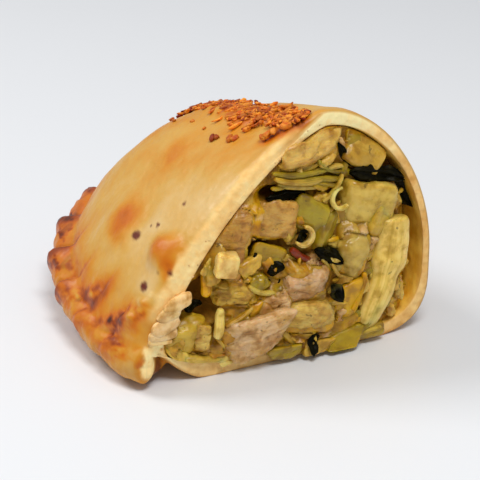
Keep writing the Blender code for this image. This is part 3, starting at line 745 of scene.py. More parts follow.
# neighbourMean = sum of the neighbours' values / their number, over the mesh's edges
def neighbourMean(values, edges, count):
    total = np.zeros((count, values.shape[1]))
    for k in range(values.shape[1]):
        total[:, k] = np.bincount(edges[:, 0], values[edges[:, 1], k], count)
        total[:, k] += np.bincount(edges[:, 1], values[edges[:, 0], k], count)
    number = np.bincount(edges.ravel(), minlength=count)
    return total / np.maximum(number, 1)[:, None]


# notchShare: the gap between the end of the twisted edge and the base, a bell that fades behind the cut;
# it pushes the gap back and marks where its shadow is painted
def notchShare(points):
    x, y, z = points.T * 1000
    behindEnd = np.maximum(smoothStep(0.4, 1.4, y), smoothStep(-0.2, 0.6, x))
    return bell(np.hypot(x - 0.4, 0.45 * (z - 2.6)), 2.0) * smoothStep(9.0, 3.0, y) * behindEnd


# readMesh: one field of a mesh's points, edges, corners or faces, as an array
def readMesh(items, field, kind, each=1):
    values = np.empty(len(items) * each, kind)
    items.foreach_get(field, values)
    return values.reshape(-1, each) if each > 1 else values


# Softening of the joint between wall and edge: how many mesh edges it reaches, what is left of it after
# each, how often it is done and how strongly; and how deep the notch at the edge's end is.
jointLook = {"reach": 9, "fall": 0.84, "rounds": 22, "strength": 0.7, "notchDepth": 0.0016}


# finishCrust: softens the joint, p += w (mean of neighbours - p), and works out the bake masks
def finishCrust(thing, look):
    mesh = thing.data
    count = len(mesh.vertices)
    points = readMesh(mesh.vertices, "co", float, 3)
    edges = readMesh(mesh.edges, "vertices", np.int32, 2)
    corners = readMesh(mesh.loops, "vertex_index", np.int32)
    region = readMesh(mesh.polygons, "material_index", np.int32)
    perCorner = np.repeat(region, readMesh(mesh.polygons, "loop_total", np.int32))
    number = np.maximum(np.bincount(corners, minlength=count), 1)
    flags = [np.bincount(corners, perCorner == k, count) / number for k in range(4)]
    weight = ((flags[0] > 0) & (flags[1] > 0)).astype(float)
    for step in range(look["reach"]):
        spread = weight.copy()
        np.maximum.at(spread, edges[:, 0], weight[edges[:, 1]] * look["fall"])
        np.maximum.at(spread, edges[:, 1], weight[edges[:, 0]] * look["fall"])
        weight = spread
    weight = look["strength"] * (weight * (1 - np.clip(flags[2] + flags[3], 0, 1)))[:, None]
    for step in range(look["rounds"]):
        points = blend(points, neighbourMean(points, edges, count), weight)
    points[:, 1] += look["notchDepth"] * notchShare(points + footprint) * (1 - flags[1])
    points[:, 2] = np.maximum(points[:, 2], 0)
    mesh.vertices.foreach_set("co", points.astype(np.float32).ravel())
    masks = bakeMasks(points + footprint, flags, edges, count, bakeLook)
    addValues(mesh, "bake", "FLOAT_COLOR", "color", masks)
    mesh.polygons.foreach_set("material_index", np.zeros(len(region), np.int32))
    mesh.update()
    mesh.shade_smooth()


# edgePlace: for each point its gap to the crimp, turns along it and angle round it, from the nearest
# of 500 points of its path, in blocks of 8000 points
def edgePlace(places, look):
    points = places.reshape(-1, 3)
    distances = np.linspace(-look["ahead"], look["folds"] * look["pitch"], 500)
    middle, outward = seamPath(distances, look)[:2]
    nearest = np.zeros(len(points), int)
    gap = np.zeros(len(points))
    for low in range(0, len(points), 8000):
        block = slice(low, low + 8000)
        away = ((points[block, None] - middle[None]) ** 2).sum(axis=2)
        nearest[block] = away.argmin(axis=1)
        gap[block] = np.sqrt(away.min(axis=1))
    offset = points - middle[nearest]
    psi = np.arctan2(offset[:, 2] / look["flat"], (offset * outward[nearest]).sum(axis=1))
    turns = (distances[nearest] + look["ahead"]) / look["pitch"]
    turns = turns + slantLag(psi, look) / look["pitch"] * np.minimum(turns, 1)
    return [values.reshape(places.shape[:-1]) for values in (gap, turns, psi)]


# Browning of the whole crust, of its twisted edge, and of the wall beside it; then the dark spots and
# the painted shadow in the notch.
bakeLook = {
    "base": 0.17, "cloudy": 0.06, "cheese": 0.36, "underside": 0.22, "undersideCloudy": 0.10,
    "fold": 0.16, "lip": 0.27, "lipPatchy": 0.22, "crease": 0.56,
    "patchy": 0.18, "streaks": 0.08, "outerStreaks": 0.28, "nearFolds": 0.8, "nearPatches": 0.6,
    "near": 0.02, "nearPatchy": 0.12,
    "beside": 0.05, "besideLip": 0.26, "besideCrease": 0.16,
    "palerRound": 0.12, "halo": 2.6, "notch": 0.85, "edgeSpots": 0.55,
    "rustyRidges": [(0, 0.7), (3, 0.4)],
    "lipAt": 0.86, "lipWide": 0.13, "creaseWide": 0.055,  # shares of a fold
    "nearFrom": 4.4, "nearTo": 1.8,  # turns over which the folds near the cut grow paler
    "wander": 0.22, "soften": 0.5,
}
# Toast of the cut dough: everywhere, and more or less of it towards each side; less of it near the top,
# where the cut dough is paler, is a painted highlight.
toastLook = {
    "everywhere": 0.30, "far": 0.20, "low": 0.20, "flank": 0.02, "high": 0.34, "corner": 0.20,
    "cloudy": 0.12, "ragged": 0.5, "rolled": 0.85,
}


# edgeBrowning: each fold of the twisted edge is dark in its crease and on its lip, less so near the
# cut, and the wall beside the edge follows it faintly
def edgeBrowning(points, onEdge, gap, turns, outer, near, look):
    share = turns % 1
    lip = bell(share - look["lipAt"], look["lipWide"])
    crease = bell(np.minimum(share, 1 - share), look["creaseWide"])
    patchy = 0.5 + 0.5 * cloud(points, 0.0045, 35)
    streaks = smoothStep(-0.1, 0.7, cloud(points * np.array([1, 1, 2.2]), 0.0032, 39, 3))
    folds = look["fold"] + (look["lip"] + look["lipPatchy"] * patchy) * lip * outer + look["crease"] * crease
    patches = look["patchy"] * patchy * outer + streaks * (look["streaks"] + look["outerStreaks"] * outer)
    pale = near * (look["near"] + look["nearPatchy"] * patchy * smoothStep(0.4, 1.2, turns))
    whole = onEdge + smoothStep(0.012, 0.006, gap) * (1 - onEdge) * 0.5
    beside = smoothStep(0.0150, 0.0055, gap) * (1 - onEdge)
    folds = folds * (1 - look["nearFolds"] * near)
    patches = patches * (1 - look["nearPatches"] * near)
    follow = look["beside"] + look["besideLip"] * lip * patchy + look["besideCrease"] * crease
    return whole * (folds + patches + pale) + beside * follow


# cutDough: share and toast of the torn dough, on the cut's own faces, at the end of the seam and on
# the rolled flank
def cutDough(points, cutFaces, look):
    x, y, z = points.T * 1000
    flank = smoothStep(34, 25, x) * smoothStep(13, 19, z)
    toast = look["everywhere"] + look["far"] * smoothStep(46, 60, x)
    toast = toast + look["low"] * smoothStep(3, 0.6, z) + look["flank"] * flank
    # painted highlight: the cut dough is paler near the top
    toast = toast - look["high"] * smoothStep(44, 49, z)
    toast = toast - look["corner"] * bell(np.hypot(x - 2, z - 10), 7)
    toast = toast + look["cloudy"] * cloud(points, 0.004, 38)
    ragged = 1 + look["ragged"] * cloud(points, 0.0022, 48, 3)
    away = np.linalg.norm([x + 1.9, y + 0.2, 0.7 * (z - 5.6)], axis=0)
    seamEnd = smoothStep(0.30, 0.60, bell(away, 2.6) * ragged) * smoothStep(1.2, 0.1, y)
    rolled = look["rolled"] * flank * smoothStep(2.0, 0.5, y * ragged)
    share = np.maximum(np.maximum(cutFaces, seamEnd), rolled)
    return np.clip(share, 0, 1), np.clip(toast, 0, 1)


# bakeMasks: browning = base + ramps + cheese + spots + folds + edge + underside, then the cut dough
# over it, the spots' paler patches on the shoulder a painted highlight; green and blue are the share of
# cut and inner faces, alpha is the largest of the dark spots and of the painted shadow in the notch
def bakeMasks(points, flags, edges, count, look):
    x, y, z = points.T * 1000
    brown = look["base"] + look["cloudy"] * cloud(points, 0.020, 31, 3)
    for axis, low, high, strength in bakeRamps:
        brown = brown + strength * smoothStep(low, high, points[:, axis] * 1000)
    cheesy = smoothStep(0.25, 0.8, driftShare(points))
    brown = brown + look["cheese"] * cheesy * (0.8 + 0.5 * cloud(points, 0.0022, 47))
    wander = 1 + look["wander"] * cloud(points, 0.004, 33)
    # the spots brown the crust; two paler ones on the shoulder are a painted highlight
    for *centre, radius, strength in bakeSpotsAndHighlights:
        brown = brown + strength * dome(awayFrom(points * 1000, centre) * wander, 1.05 * radius)
    streak = 0.8 + 1.1 * cloud(points * np.array([1, 1, 2.4]), 0.0024, 40, 3)
    for start, end, radius, lift, strength in foldRidges:
        brown = brown + strength * streak * ridgeShare(points, start, end, radius * 1.15)
    gap, turns, psi = edgePlace(points, crimpLook)
    outer = np.clip(np.cos(psi - 0.7), 0, 1)
    near = smoothStep(look["nearFrom"], look["nearTo"], turns)
    brown = brown + edgeBrowning(points, flags[1], gap, turns, outer, near, look)
    underside = smoothStep(0.6, 0.1, z) * smoothStep(-10, 10, x + y)
    dirty = look["underside"] + look["undersideCloudy"] * cloud(points, 0.006, 36, 3)
    brown = brown + underside * dirty
    # painted shadow: the notch between the twisted edge's end and the base takes the dark spot colour
    spotsAndShade = look["notch"] * smoothStep(0.25, 0.7, notchShare(points))
    for *centre, radius in pinDots:
        away = np.linalg.norm((points * 1000 - np.array(centre)) * np.array([1, 0.65, 1]), axis=1)
        spotsAndShade = np.maximum(spotsAndShade, smoothStep(0.28, 0.66, bell(away, radius)))
        brown = brown - look["palerRound"] * bell(away, radius * look["halo"])
    edgeSpots = smoothStep(0.35, 0.62, latticeNoise(points, 0.0030, 37)) * flags[1] * outer
    spotsAndShade = np.maximum(spotsAndShade, look["edgeSpots"] * edgeSpots * (1 - near))
    rusty = smoothStep(0.05, 0.5, cloud(points * np.array([1, 1, 2.6]), 0.0026, 44, 3))
    for ridge, strength in look["rustyRidges"]:
        spotsAndShade = np.maximum(spotsAndShade, strength * rusty * ridgeShare(points, *foldRidges[ridge][:2], 2.0))
    cutShare, toast = cutDough(points, flags[2], toastLook)
    brown = blend(brown, toast, cutShare)
    masks = np.stack([np.clip(brown, 0, 1), cutShare, flags[3], np.clip(spotsAndShade, 0, 1)], -1)
    masks[:, 1:3] = blend(masks[:, 1:3], neighbourMean(masks[:, 1:3], edges, count), look["soften"])
    return masks


crust = uniteShapes(crustShape(crustLook), crimpShape(crimpLook))
finishCrust(crust, jointLook)
dressPiece(crust, crustMaterial, "crust")
print("crust made")


# seedBall: a ball of triangles, the template of every crumb and loose bit
def seedBall(level):
    ball = bmesh.new()
    bmesh.ops.create_icosphere(ball, subdivisions=level, radius=1)
    points = np.array([v.co[:] for v in ball.verts])
    faces = np.array([[v.index for v in face.verts] for face in ball.faces])
    ball.free()
    return points, faces


# setOut: p = centre + R local for every copy of a template, and the corner numbers of all copies
def setOut(centres, turns, local, faces):
    points = centres[:, None] + np.einsum("nij,nkj->nki", turns, local)
    numbers = faces[None] + (np.arange(len(centres)) * local.shape[1])[:, None, None]
    return points.reshape(-1, 3), [numbers.reshape(-1, 3)]


# ballGrid: directions on a ball, poles at +Z and -Z left out
def ballGrid(rows, columns):
    polar = np.linspace(0, math.pi, rows + 2)[1:-1, None]
    around = circle(columns)[None, :]
    x = np.sin(polar) * np.cos(around)
    return np.stack([x, np.sin(polar) * np.sin(around), np.cos(polar) + 0 * around], -1)


# blockNormals: the six sides of a box turned a little by chance, and a few random cuts across corners
def blockNormals(draw, count, cuts, jitter):
    sides = np.concatenate([np.eye(3), -np.eye(3)])[None] + draw.normal(0, jitter, (count, 6, 3))
    normals = unit(np.concatenate([sides, draw.standard_normal((count, cuts, 3))], axis=1))
    gaps = [draw.uniform(0.88, 1.06, (count, 6)), draw.uniform(0.98, 1.34, (count, cuts))]
    return normals, np.concatenate(gaps, axis=1)


# blockRadius: r(q) = (sum over the cuts of (max(q . n, 0) / d)^p)^(-1/p), edges rounder as p falls
def blockRadius(directions, normals, gaps, edge):
    facing = np.maximum(np.einsum("...i,nki->n...k", directions, normals), 0)
    gaps = gaps.reshape((len(gaps),) + (1,) * (directions.ndim - 1) + (-1,))
    return ((facing / gaps) ** edge).sum(axis=-1) ** (-1 / edge)


cheeseLook = {
    "crumbs": 820, "small": 0.00026, "large": 0.00062, "seed": 7,
    "start": 0.6, "reach": 39, "spread": 1.15,  # degrees of theta, and share of the drift's width
    "fallen": 0.08,  # share of larger, darker crumbs that lie beyond the drift, towards the tip
    "fallenAt": 42, "fallenSpread": 1.3, "fallenSize": 1.35, "fallenDark": 0.35,
    "dark": 0.34, "darkSpread": 0.32, "cuts": 4, "jitter": 0.2, "edge": 5.0, "longest": 1.35,
    "long": [1.0, 1.6, 2.6], "longShares": [0.50, 0.30, 0.20], "bend": 0.22,
    "wide": (0.55, 0.95), "high": (0.45, 0.8), "rough": 0.25, "roughSpan": 0.0006, "lift": 0.75,
    "strayLong": 1.3, "strayLift": 0.2,
    "light": (255, 166, 52), "deep": (128, 26, 2),
}
# Crumbs apart from the drift: x, y, z and size in millimetres, share of dark.
cheeseStrays = [
    (23.5, 21.3, 42.2, 0.95, 0.9), (23.9, 20.6, 42.6, 0.70, 0.8), (24.5, 15.9, 43.9, 0.80, 0.55),
    (25.0, 15.0, 44.3, 0.70, 0.4), (24.9, 16.8, 43.9, 0.60, 0.5), (27.5, 5.4, 47.6, 0.90, 0.3),
    (26.6, 5.9, 47.0, 0.80, 0.25), (28.4, 4.8, 48.2, 0.80, 0.3), (30.3, 2.6, 49.7, 1.00, 0.2),
    (30.9, 3.8, 49.9, 0.90, 0.3), (25.7, 41.5, 37.6, 0.60, 0.6), (28.6, 49.0, 35.2, 0.60, 0.6),
    (26.0, 34.0, 40.2, 0.45, 0.4), (25.2, 28.0, 41.6, 0.40, 0.4),
]


# cheeseShape: crumbs and bent shreds on the drift; a shred is a block drawn out along x, its middle
# raised by bend * x^2, and all lie flat: turned in the surface's own frame (ahead, aside, normal),
# which is that of an ellipsoid round the crust
def cheeseShape(look):
    draw = np.random.default_rng(look["seed"])
    count = look["crumbs"]
    thetas, phis, widths = np.array(cheeseDrift).T
    theta = look["start"] + look["reach"] * draw.uniform(0, 1, count)
    far = draw.uniform(0, 1, count) < look["fallen"]
    beyond = look["fallenAt"] + look["fallenSpread"] * draw.standard_normal(count)
    theta = np.where(far, beyond, theta)
    spread = np.interp(theta, thetas, widths) * look["spread"]
    phi = np.interp(theta, thetas, phis) + spread * np.clip(draw.normal(0, 0.62, count), -1.6, 1.6)
    strays = np.array(cheeseStrays)
    centres = pouch(np.radians(theta), np.radians(phi), pouchSizes)
    centres = np.concatenate([centres, strays[:, :3] / 1000])
    size = draw.uniform(look["small"], look["large"], count) * np.where(far, look["fallenSize"], 1)
    size = np.concatenate([size, strays[:, 3] / 1000])
    dark = np.clip(draw.normal(look["dark"], look["darkSpread"], count) + look["fallenDark"] * far, 0, 1)
    dark = np.concatenate([dark, strays[:, 4]])
    total = len(centres)
    normal = unit((centres - np.array([0.036, 0, 0.012])) / np.array([0.036, 0.077, 0.040]) ** 2)
    ahead = unit(np.cross(normal, draw.standard_normal((total, 3))))
    turns = np.stack([ahead, np.cross(normal, ahead), normal], -1)
    long = draw.choice(look["long"], total, p=look["longShares"])
    long[count:] = look["strayLong"]
    wide = size * draw.uniform(*look["wide"], total)
    sizes = np.stack([size * long, wide, size * draw.uniform(*look["high"], total)], -1)
    template, faces = seedBall(2)
    normals, gaps = blockNormals(draw, total, look["cuts"], look["jitter"])
    reach = np.minimum(blockRadius(template, normals, gaps, look["edge"]), look["longest"])
    local = template[None] * reach[..., None] * sizes[:, None]
    bend = draw.uniform(-look["bend"], look["bend"], total) / size * (long > 1.5)
    local[..., 1] += bend[:, None] * local[..., 0] ** 2
    local[..., 2] += np.abs(bend[:, None]) * 0.5 * local[..., 0] ** 2
    apart = local + draw.uniform(-1, 1, (total, 1, 3))
    local = local * (1 + look["rough"] * cloud(apart, look["roughSpan"], 9))[..., None]
    lift = swellingHeight(centres) + size * draw.uniform(0.0, look["lift"], total)
    lift[count:] = swellingHeight(centres[count:]) + look["strayLift"] * size[count:]
    points, faces = setOut(centres + normal * lift[:, None], turns, local, faces)
    light, deep = [np.array(tint(*look[shade])) for shade in ("light", "deep")]
    colour = np.repeat(blend(light, deep, dark[:, None]), len(template), axis=0)
    return points, faces, (local * 1000).reshape(-1, 3), colour


cheeseFinish = {
    "roughness": 0.46, "coat": 0.02, "shine": 0.22, "soft": 0.16, "radius": 0.0010,
    "ramp": [(0.0, (255, 255, 250)), (0.5, (244, 220, 190)), (1.0, (214, 146, 100))],
}


# makeCheeseMaterial: the crumb's own tone times a ramp over fine mottling
def makeCheeseMaterial(finish):
    material, tree, surface, where = newMaterial("baked cheese", finish)
    warm = colourRamp(tree, mottle(tree, where, 700.0, 0.30, 0.70), finish["ramp"])
    colour = mixColours(tree, 1.0, attribute(tree, "tone", "Color"), warm, "MULTIPLY")
    feed(tree, surface["Base Color"], colour)
    addBump(tree, surface, where, 1300.0, 0.4, 0.0003)
    return material


cheese = addFoodPiece("cheeseCrumbs", *cheeseShape(cheeseLook))
dressPiece(cheese, makeCheeseMaterial(cheeseFinish), "crust")
print("cheese crumbs made")

# Colours of the food, as seen on a screen.
tones = {
    "tan": (194, 146, 66), "brown": (196, 158, 80), "pink": (222, 188, 146), "cream": (220, 190, 96),
    "pale": (214, 176, 72), "olive": (184, 152, 20), "green": (170, 148, 28), "leaf": (216, 186, 92),
    "stalk": (228, 202, 124), "grey": (208, 188, 106), "yellow": (226, 174, 2), "white": (240, 210, 140),
    "sauce": (216, 166, 2), "dark": (26, 23, 2), "red": (138, 46, 2), "dough": (248, 216, 162),
}

# The filling's hollows and swellings behind the cut, in millimetres: depth, and x and z of the middle
# with the reach along each.
faceSwells = [
    (-3.4, 33, 15, 11, 11), (-1.8, 47, 9, 24, 8), (4.0, 61, 6, 30, 16),
    (1.4, 52, 10, 44, 6), (5.0, 63, 5, 15, 12),
]


# faceDepth: depth of the filling behind the cut in metres at x and z in millimetres, a sum of bells
def faceDepth(x, z):
    depth = 0.8 + 0.5 * np.sin(0.55 * x + 0.8) * np.sin(0.62 * z + 1.7)
    for deep, middleX, wide, middleZ, high in faceSwells:
        depth = depth + deep * np.exp(-(((x - middleX) / wide) ** 2) - ((z - middleZ) / high) ** 2)
    return depth / 1000


# Pieces on the cut face, in millimetres: x and z of the middle, width, height and depth; degrees of
# turn on the face, of pitch and of yaw; how far the piece stands out of the mass; its colour.
chickenDice = [
    (25.9, 31.0, 9.2, 7.8, 7.0, -20, -10, 8, 2.6, "brown"),
    (17.2, 27.6, 8.0, 15.0, 7.0, -10, 4, -14, 1.8, "tan"),
    (33.0, 16.8, 10.4, 8.6, 8.0, -12, 12, 6, 2.4, "pink"),
    (33.0, 9.6, 12.4, 6.6, 8.0, -10, -8, -4, 2.6, "cream"),
    (26.4, 14.2, 5.6, 5.4, 5.0, 20, 10, -18, 1.8, "pink"),
    (20.0, 8.2, 12.6, 7.8, 7.0, 13, 6, -3, 3.0, "pink"),
    (9.9, 8.8, 3.4, 6.6, 4.0, -6, 6, -12, 2.2, "cream"),
    (34.0, 45.2, 14.6, 6.6, 7.0, 3, -8, 4, 2.8, "cream"),
    (17.0, 17.4, 8.2, 5.2, 5.0, -8, 12, -6, 1.8, "pale"),
]
cabbageDice = [
    (34.4, 30.8, 7.4, 8.2, 6.0, -24, 14, -16, 2.4, "green"),
    (37.0, 27.4, 6.0, 9.4, 6.0, -16, 0, 22, 2.0, "green"),
    (47.8, 31.0, 13.0, 10.4, 6.0, -16, 8, -8, 2.8, "leaf"),
    (50.6, 26.8, 7.4, 8.0, 5.0, -20, -6, 18, 1.8, "pale"),
    (43.5, 21.4, 6.8, 9.6, 6.0, -13, 0, -14, 2.6, "grey"),
    (47.4, 41.6, 10.4, 7.0, 5.0, -30, -4, 6, 2.6, "pale"),
    (6.0, 9.8, 7.6, 7.0, 5.0, -12, 8, -16, 1.2, "pale"),
    (42.6, 11.2, 5.4, 8.6, 5.0, -8, 6, 8, 1.6, "yellow"),
    (40.6, 5.4, 9.4, 5.0, 5.0, -4, 10, 4, 1.8, "sauce"),
    (24.6, 22.0, 8.4, 8.6, 4.0, -14, 8, -8, 0.8, "olive"),
    (22.0, 13.2, 5.4, 4.4, 4.0, 18, 12, 0, 1.2, "yellow"),
    (4.6, 6.0, 6.4, 4.0, 3.4, -42, 8, -10, 1.4, "cream"),
    (9.6, 3.6, 8.6, 3.6, 3.6, -12, 8, 0, 1.7, "cream"),
    (15.0, 3.2, 7.6, 3.2, 3.4, 4, 6, 0, 1.6, "white"),
    (28.4, 2.7, 7.6, 3.4, 3.4, 4, 6, 0, 2.4, "olive"),
    (35.0, 2.9, 7.0, 3.6, 3.4, -6, 6, 4, 2.5, "pale"),
    (41.6, 2.9, 7.6, 3.6, 3.6, 6, 8, 0, 2.6, "olive"),
    (47.6, 3.4, 6.4, 3.6, 3.4, -4, 8, 0, 2.2, "olive"),
]
cheeseDice = [(14.3, 24.7, 4.8, 5.0, 4.4, -14, 6, -10, 4.6, "white")]

# Strips: x and z of the middle, length, width and depth, turn, stand out, bend in degrees, colour.
leekStrips = [
    (51.2, 15.6, 24.0, 7.6, 3.6, 74, 3.2, 30, "stalk"),
    (31.4, 40.6, 12.0, 1.2, 1.6, -6, 2.2, 24, "green"),
    (35.6, 39.9, 12.0, 1.1, 1.6, 8, 2.6, -30, "leaf"),
    (31.0, 39.2, 11.0, 1.3, 1.6, -10, 2.6, 30, "pale"),
    (36.0, 38.4, 11.0, 1.2, 1.6, -6, 2.8, -24, "green"),
    (31.6, 37.8, 10.0, 1.3, 1.6, -12, 2.2, 18, "leaf"),
    (37.0, 37.2, 9.0, 1.1, 1.6, -16, 2.4, -30, "olive"),
    (33.8, 41.4, 9.0, 0.9, 1.4, 16, 1.8, 40, "olive"),
    (38.4, 40.6, 7.4, 0.9, 1.4, -30, 2.6, 60, "green"),
    (39.0, 36.2, 7.0, 0.9, 1.4, 50, 3.0, 50, "leaf"),
    (28.2, 38.6, 6.0, 1.0, 1.4, 10, 2.0, 40, "green"),
    (40.0, 33.8, 8.6, 0.9, 1.4, -70, 3.4, 220, "white"),
    (32.4, 27.2, 7.6, 0.9, 1.8, 60, 3.4, 230, "white"),
    (12.8, 12.4, 6.4, 1.8, 1.8, 84, 3.4, 10, "white"),
    (11.0, 20.4, 5.0, 2.2, 2.0, 88, 1.8, 18, "yellow"),
    (46.6, 2.9, 8.4, 1.7, 2.2, 8, 2.6, -20, "pale"),
    (48.4, 6.4, 7.0, 2.2, 2.2, 56, 2.4, 16, "green"),
    (28.4, 4.0, 7.4, 1.6, 2.2, 8, 1.6, 24, "pale"),
    (44.8, 13.0, 8.4, 1.3, 1.8, 70, 2.6, 40, "yellow"),
    (22.4, 17.4, 6.4, 1.1, 1.6, -24, 2.0, 50, "leaf"),
    (17.6, 12.4, 6.8, 1.2, 1.6, 28, 2.0, 26, "pale"),
]
pepperStrips = [(32.8, 22.4, 8.6, 1.8, 1.8, -33, 2.0, 30, "red")]

# Leaves: x and z of the middle, length, width, turn, stand out, height of the waves.
spinachLeaves = [
    (49.6, 37.0, 13.0, 4.0, -14, 1.6, 0.7),
    (42.2, 42.6, 6.4, 1.8, -58, 1.4, 0.4),
    (57.4, 32.0, 11.0, 3.8, -58, 1.4, 0.6),
    (37.2, 22.6, 7.6, 3.2, -32, 2.2, 0.6),
    (25.8, 21.4, 3.8, 2.8, 10, 1.6, 0.4),
    (37.9, 15.3, 4.8, 3.2, -56, 3.4, 0.5),
    (33.7, 3.9, 5.0, 2.6, 84, 2.4, 0.4),
    (29.0, 35.8, 9.0, 2.8, -4, 0.8, 0.5),
    (32.2, 27.2, 3.4, 2.6, 30, 1.8, 0.4),
    (22.8, 25.0, 4.4, 2.0, 30, 0.8, 0.4),
    (8.8, 15.6, 3.8, 2.2, 20, -0.6, 0.4),
]

# Deep gaps that no loose bits fill: x, z, half width, half height and depth in millimetres.
darkGaps = [
    (9.2, 16.6, 4.6, 3.6, 6.0), (29.0, 36.0, 5.0, 1.7, 5.0), (22.4, 25.2, 2.2, 2.2, 3.0),
    (41.2, 34.6, 2.0, 2.4, 3.0), (51.0, 37.0, 6.0, 2.2, 2.5), (38.6, 22.2, 2.4, 1.6, 2.5),
    (13.4, 20.4, 2.4, 1.4, 3.0), (25.8, 25.6, 3.6, 1.2, 2.0),
]


# spin: turns two coordinates by an angle in degrees, (a cos - b sin, a sin + b cos)
def spin(a, b, degrees):
    angle = math.radians(degrees)
    return a * math.cos(angle) - b * math.sin(angle), a * math.sin(angle) + b * math.cos(angle)


# onFace: turns local points on the cut face and moves their middle to x and z
def onFace(local, x, z, turn, y):
    across, up = spin(local[..., 0], local[..., 2], turn)
    return np.stack([x / 1000 + across, y + local[..., 1], z / 1000 + up], -1)


# middleDepth: y of a piece's middle so that it stands out of the mass by standOut
def middleDepth(x, z, depth, standOut):
    return faceDepth(x, z) + (depth / 2 - standOut) / 1000


# slumpRoom: the filling keeps inside the hollow, and ahead of the cut may come down to 1 mm
def slumpRoom(points):
    kept = keepInside(points, clearSizes)
    ahead = smoothStep(-0.0008, -0.0016, points[..., 1])[..., None]
    free = points.copy()
    free[..., 2] = np.maximum(points[..., 2], 0.0010)
    return blend(kept, free, ahead)


# envelope: the foremost of the bed and the fronts of the dice at x and z, front = middle +
# sin(yaw) dx - sin(pitch) dz - depth / 2 * (1 - |dx / w|^5 - |dz / h|^5)^(1/5)
def envelope(x, z):
    front = faceDepth(x, z)
    for row in chickenDice + cabbageDice + cheeseDice:
        cx, cz, width, height, depth, turn, pitch, yaw, standOut = row[:9]
        dx, dz = spin(x - cx, z - cz, -turn)
        room = np.clip(1 - np.abs(2 * dx / width) ** 5 - np.abs(2 * dz / height) ** 5, 0, 1) ** 0.2
        tilt = math.sin(math.radians(yaw)) * dx - math.sin(math.radians(pitch)) * dz
        reach = middleDepth(cx, cz, depth, standOut) + (tilt - depth / 2 * room) / 1000
        front = np.minimum(front, np.where(room > 0, reach, 1.0))
    return front


# gapDepth = sum of depth * exp(-(|dx / w|^3 + |dz / h|^3))
def gapDepth(x, z):
    total = 0 * x
    for gapX, gapZ, wide, high, depth in darkGaps:
        total = total + depth * np.exp(-(np.abs((x - gapX) / wide) ** 3) - np.abs((z - gapZ) / high) ** 3)
    return total / 1000


# blurRows: G, a bell of the radius over the other places in each row, divided by the row's sum
def blurRows(places, radius):
    rows = bell(places[:, None] - places[None], radius)
    return rows / rows.sum(axis=1, keepdims=True)


# A raster of the pieces' fronts, in millimetres.
frontCells = {"start": -2, "right": 68, "top": 56, "size": 0.5, "blur": 1.1}


# blurredFace: G E G, the envelope on the raster with G the bell curve
def blurredFace(cells):
    radius = cells["blur"]
    x = np.arange(cells["start"], cells["right"], cells["size"])
    z = np.arange(cells["start"], cells["top"], cells["size"])
    return blurRows(x, radius) @ envelope(*np.meshgrid(x, z, indexing="ij")) @ blurRows(z, radius).T


# readFace: the raster's value at x and z in millimetres, bilinear
def readFace(raster, x, z, cells):
    x = np.clip((x - cells["start"]) / cells["size"], 0, raster.shape[0] - 1.001)
    z = np.clip((z - cells["start"]) / cells["size"], 0, raster.shape[1] - 1.001)
    i = x.astype(int)
    k = z.astype(int)
    u = x - i
    v = z - k
    low = raster[i, k] * (1 - u) + raster[i + 1, k] * u
    high = raster[i, k + 1] * (1 - u) + raster[i + 1, k + 1] * u
    return low * (1 - v) + high * v


closeFace = blurredFace(frontCells)
bedBehind = 0.0004


# bedFront: the mass lies a little behind the blurred fronts of the pieces, and deeper in the gaps
def bedFront(x, z):
    return readFace(closeFace, x, z, frontCells) + bedBehind + gapDepth(x, z)


faceMiddle = (0.036, 0, 0.020)
shallowGap = 0.0008


# spotsOnFace: random x and z in millimetres inside the clear space's outline, made smaller to the
# limit, and outside the dark gaps, and where clear is asked for, also outside the dice
def spotsOnFace(count, draw, limit, clear=False):
    x = draw.uniform(2, 62, count * 8)
    z = draw.uniform(2, 50, count * 8)
    middle = np.array(faceMiddle)
    grown = middle + (np.stack([x / 1000, 0 * x, z / 1000], -1) - middle) / limit
    inside = np.linalg.norm(keepInside(grown, clearSizes) - grown, axis=1) < 1e-7
    inside &= gapDepth(x, z) < shallowGap
    if clear:
        inside &= envelope(x, z) > faceDepth(x, z) - 0.0001
    return x[inside][:count], z[inside][:count]


# someTones: a colour of the palette for each of count pieces, made lighter or darker by chance
def someTones(draw, names, count, darkest):
    palette = np.array([tint(*tones[tone]) for tone in names])
    return palette[draw.integers(0, len(palette), count)] * draw.uniform(darkest, 1.08, (count, 1))


packLook = {
    "count": 420, "small": 1.2, "large": 5.2, "high": 1.5, "slope": 0.40, "seed": 151,
    "inside": 0.97, "wobble": 0.5, "wobbleSpan": 2.6, "round": 0.34, "tilt": 0.6,
    "edge": 0.35, "cover": 0.9,  # where a piece's colour is full, and how far it hides the sauce
    "darkest": 0.86,
    "tones": ["cream", "pale", "olive", "green", "leaf", "yellow", "sauce", "sauce", "pink", "pale"],
}


# packPieces: random middles, half sizes, turns, heights, slopes and colours of the chopped pieces
def packPieces(look):
    draw = np.random.default_rng(look["seed"])
    x, z = spotsOnFace(look["count"], draw, look["inside"])
    count = len(x)
    size = blend(look["small"], look["large"], draw.uniform(0, 1, count) ** 2.2)
    narrow = size * draw.uniform(0.35, 0.9, count)
    turn = draw.uniform(-90, 90, count)
    high = look["high"] * draw.uniform(0.25, 1.0, count) * (size / look["large"]) ** 0.5
    slopes = draw.normal(0, look["slope"], (2, count))
    colour = someTones(draw, look["tones"], count, look["darkest"])
    return zip(x, z, size / 2, narrow / 2, turn, high, *slopes, colour)


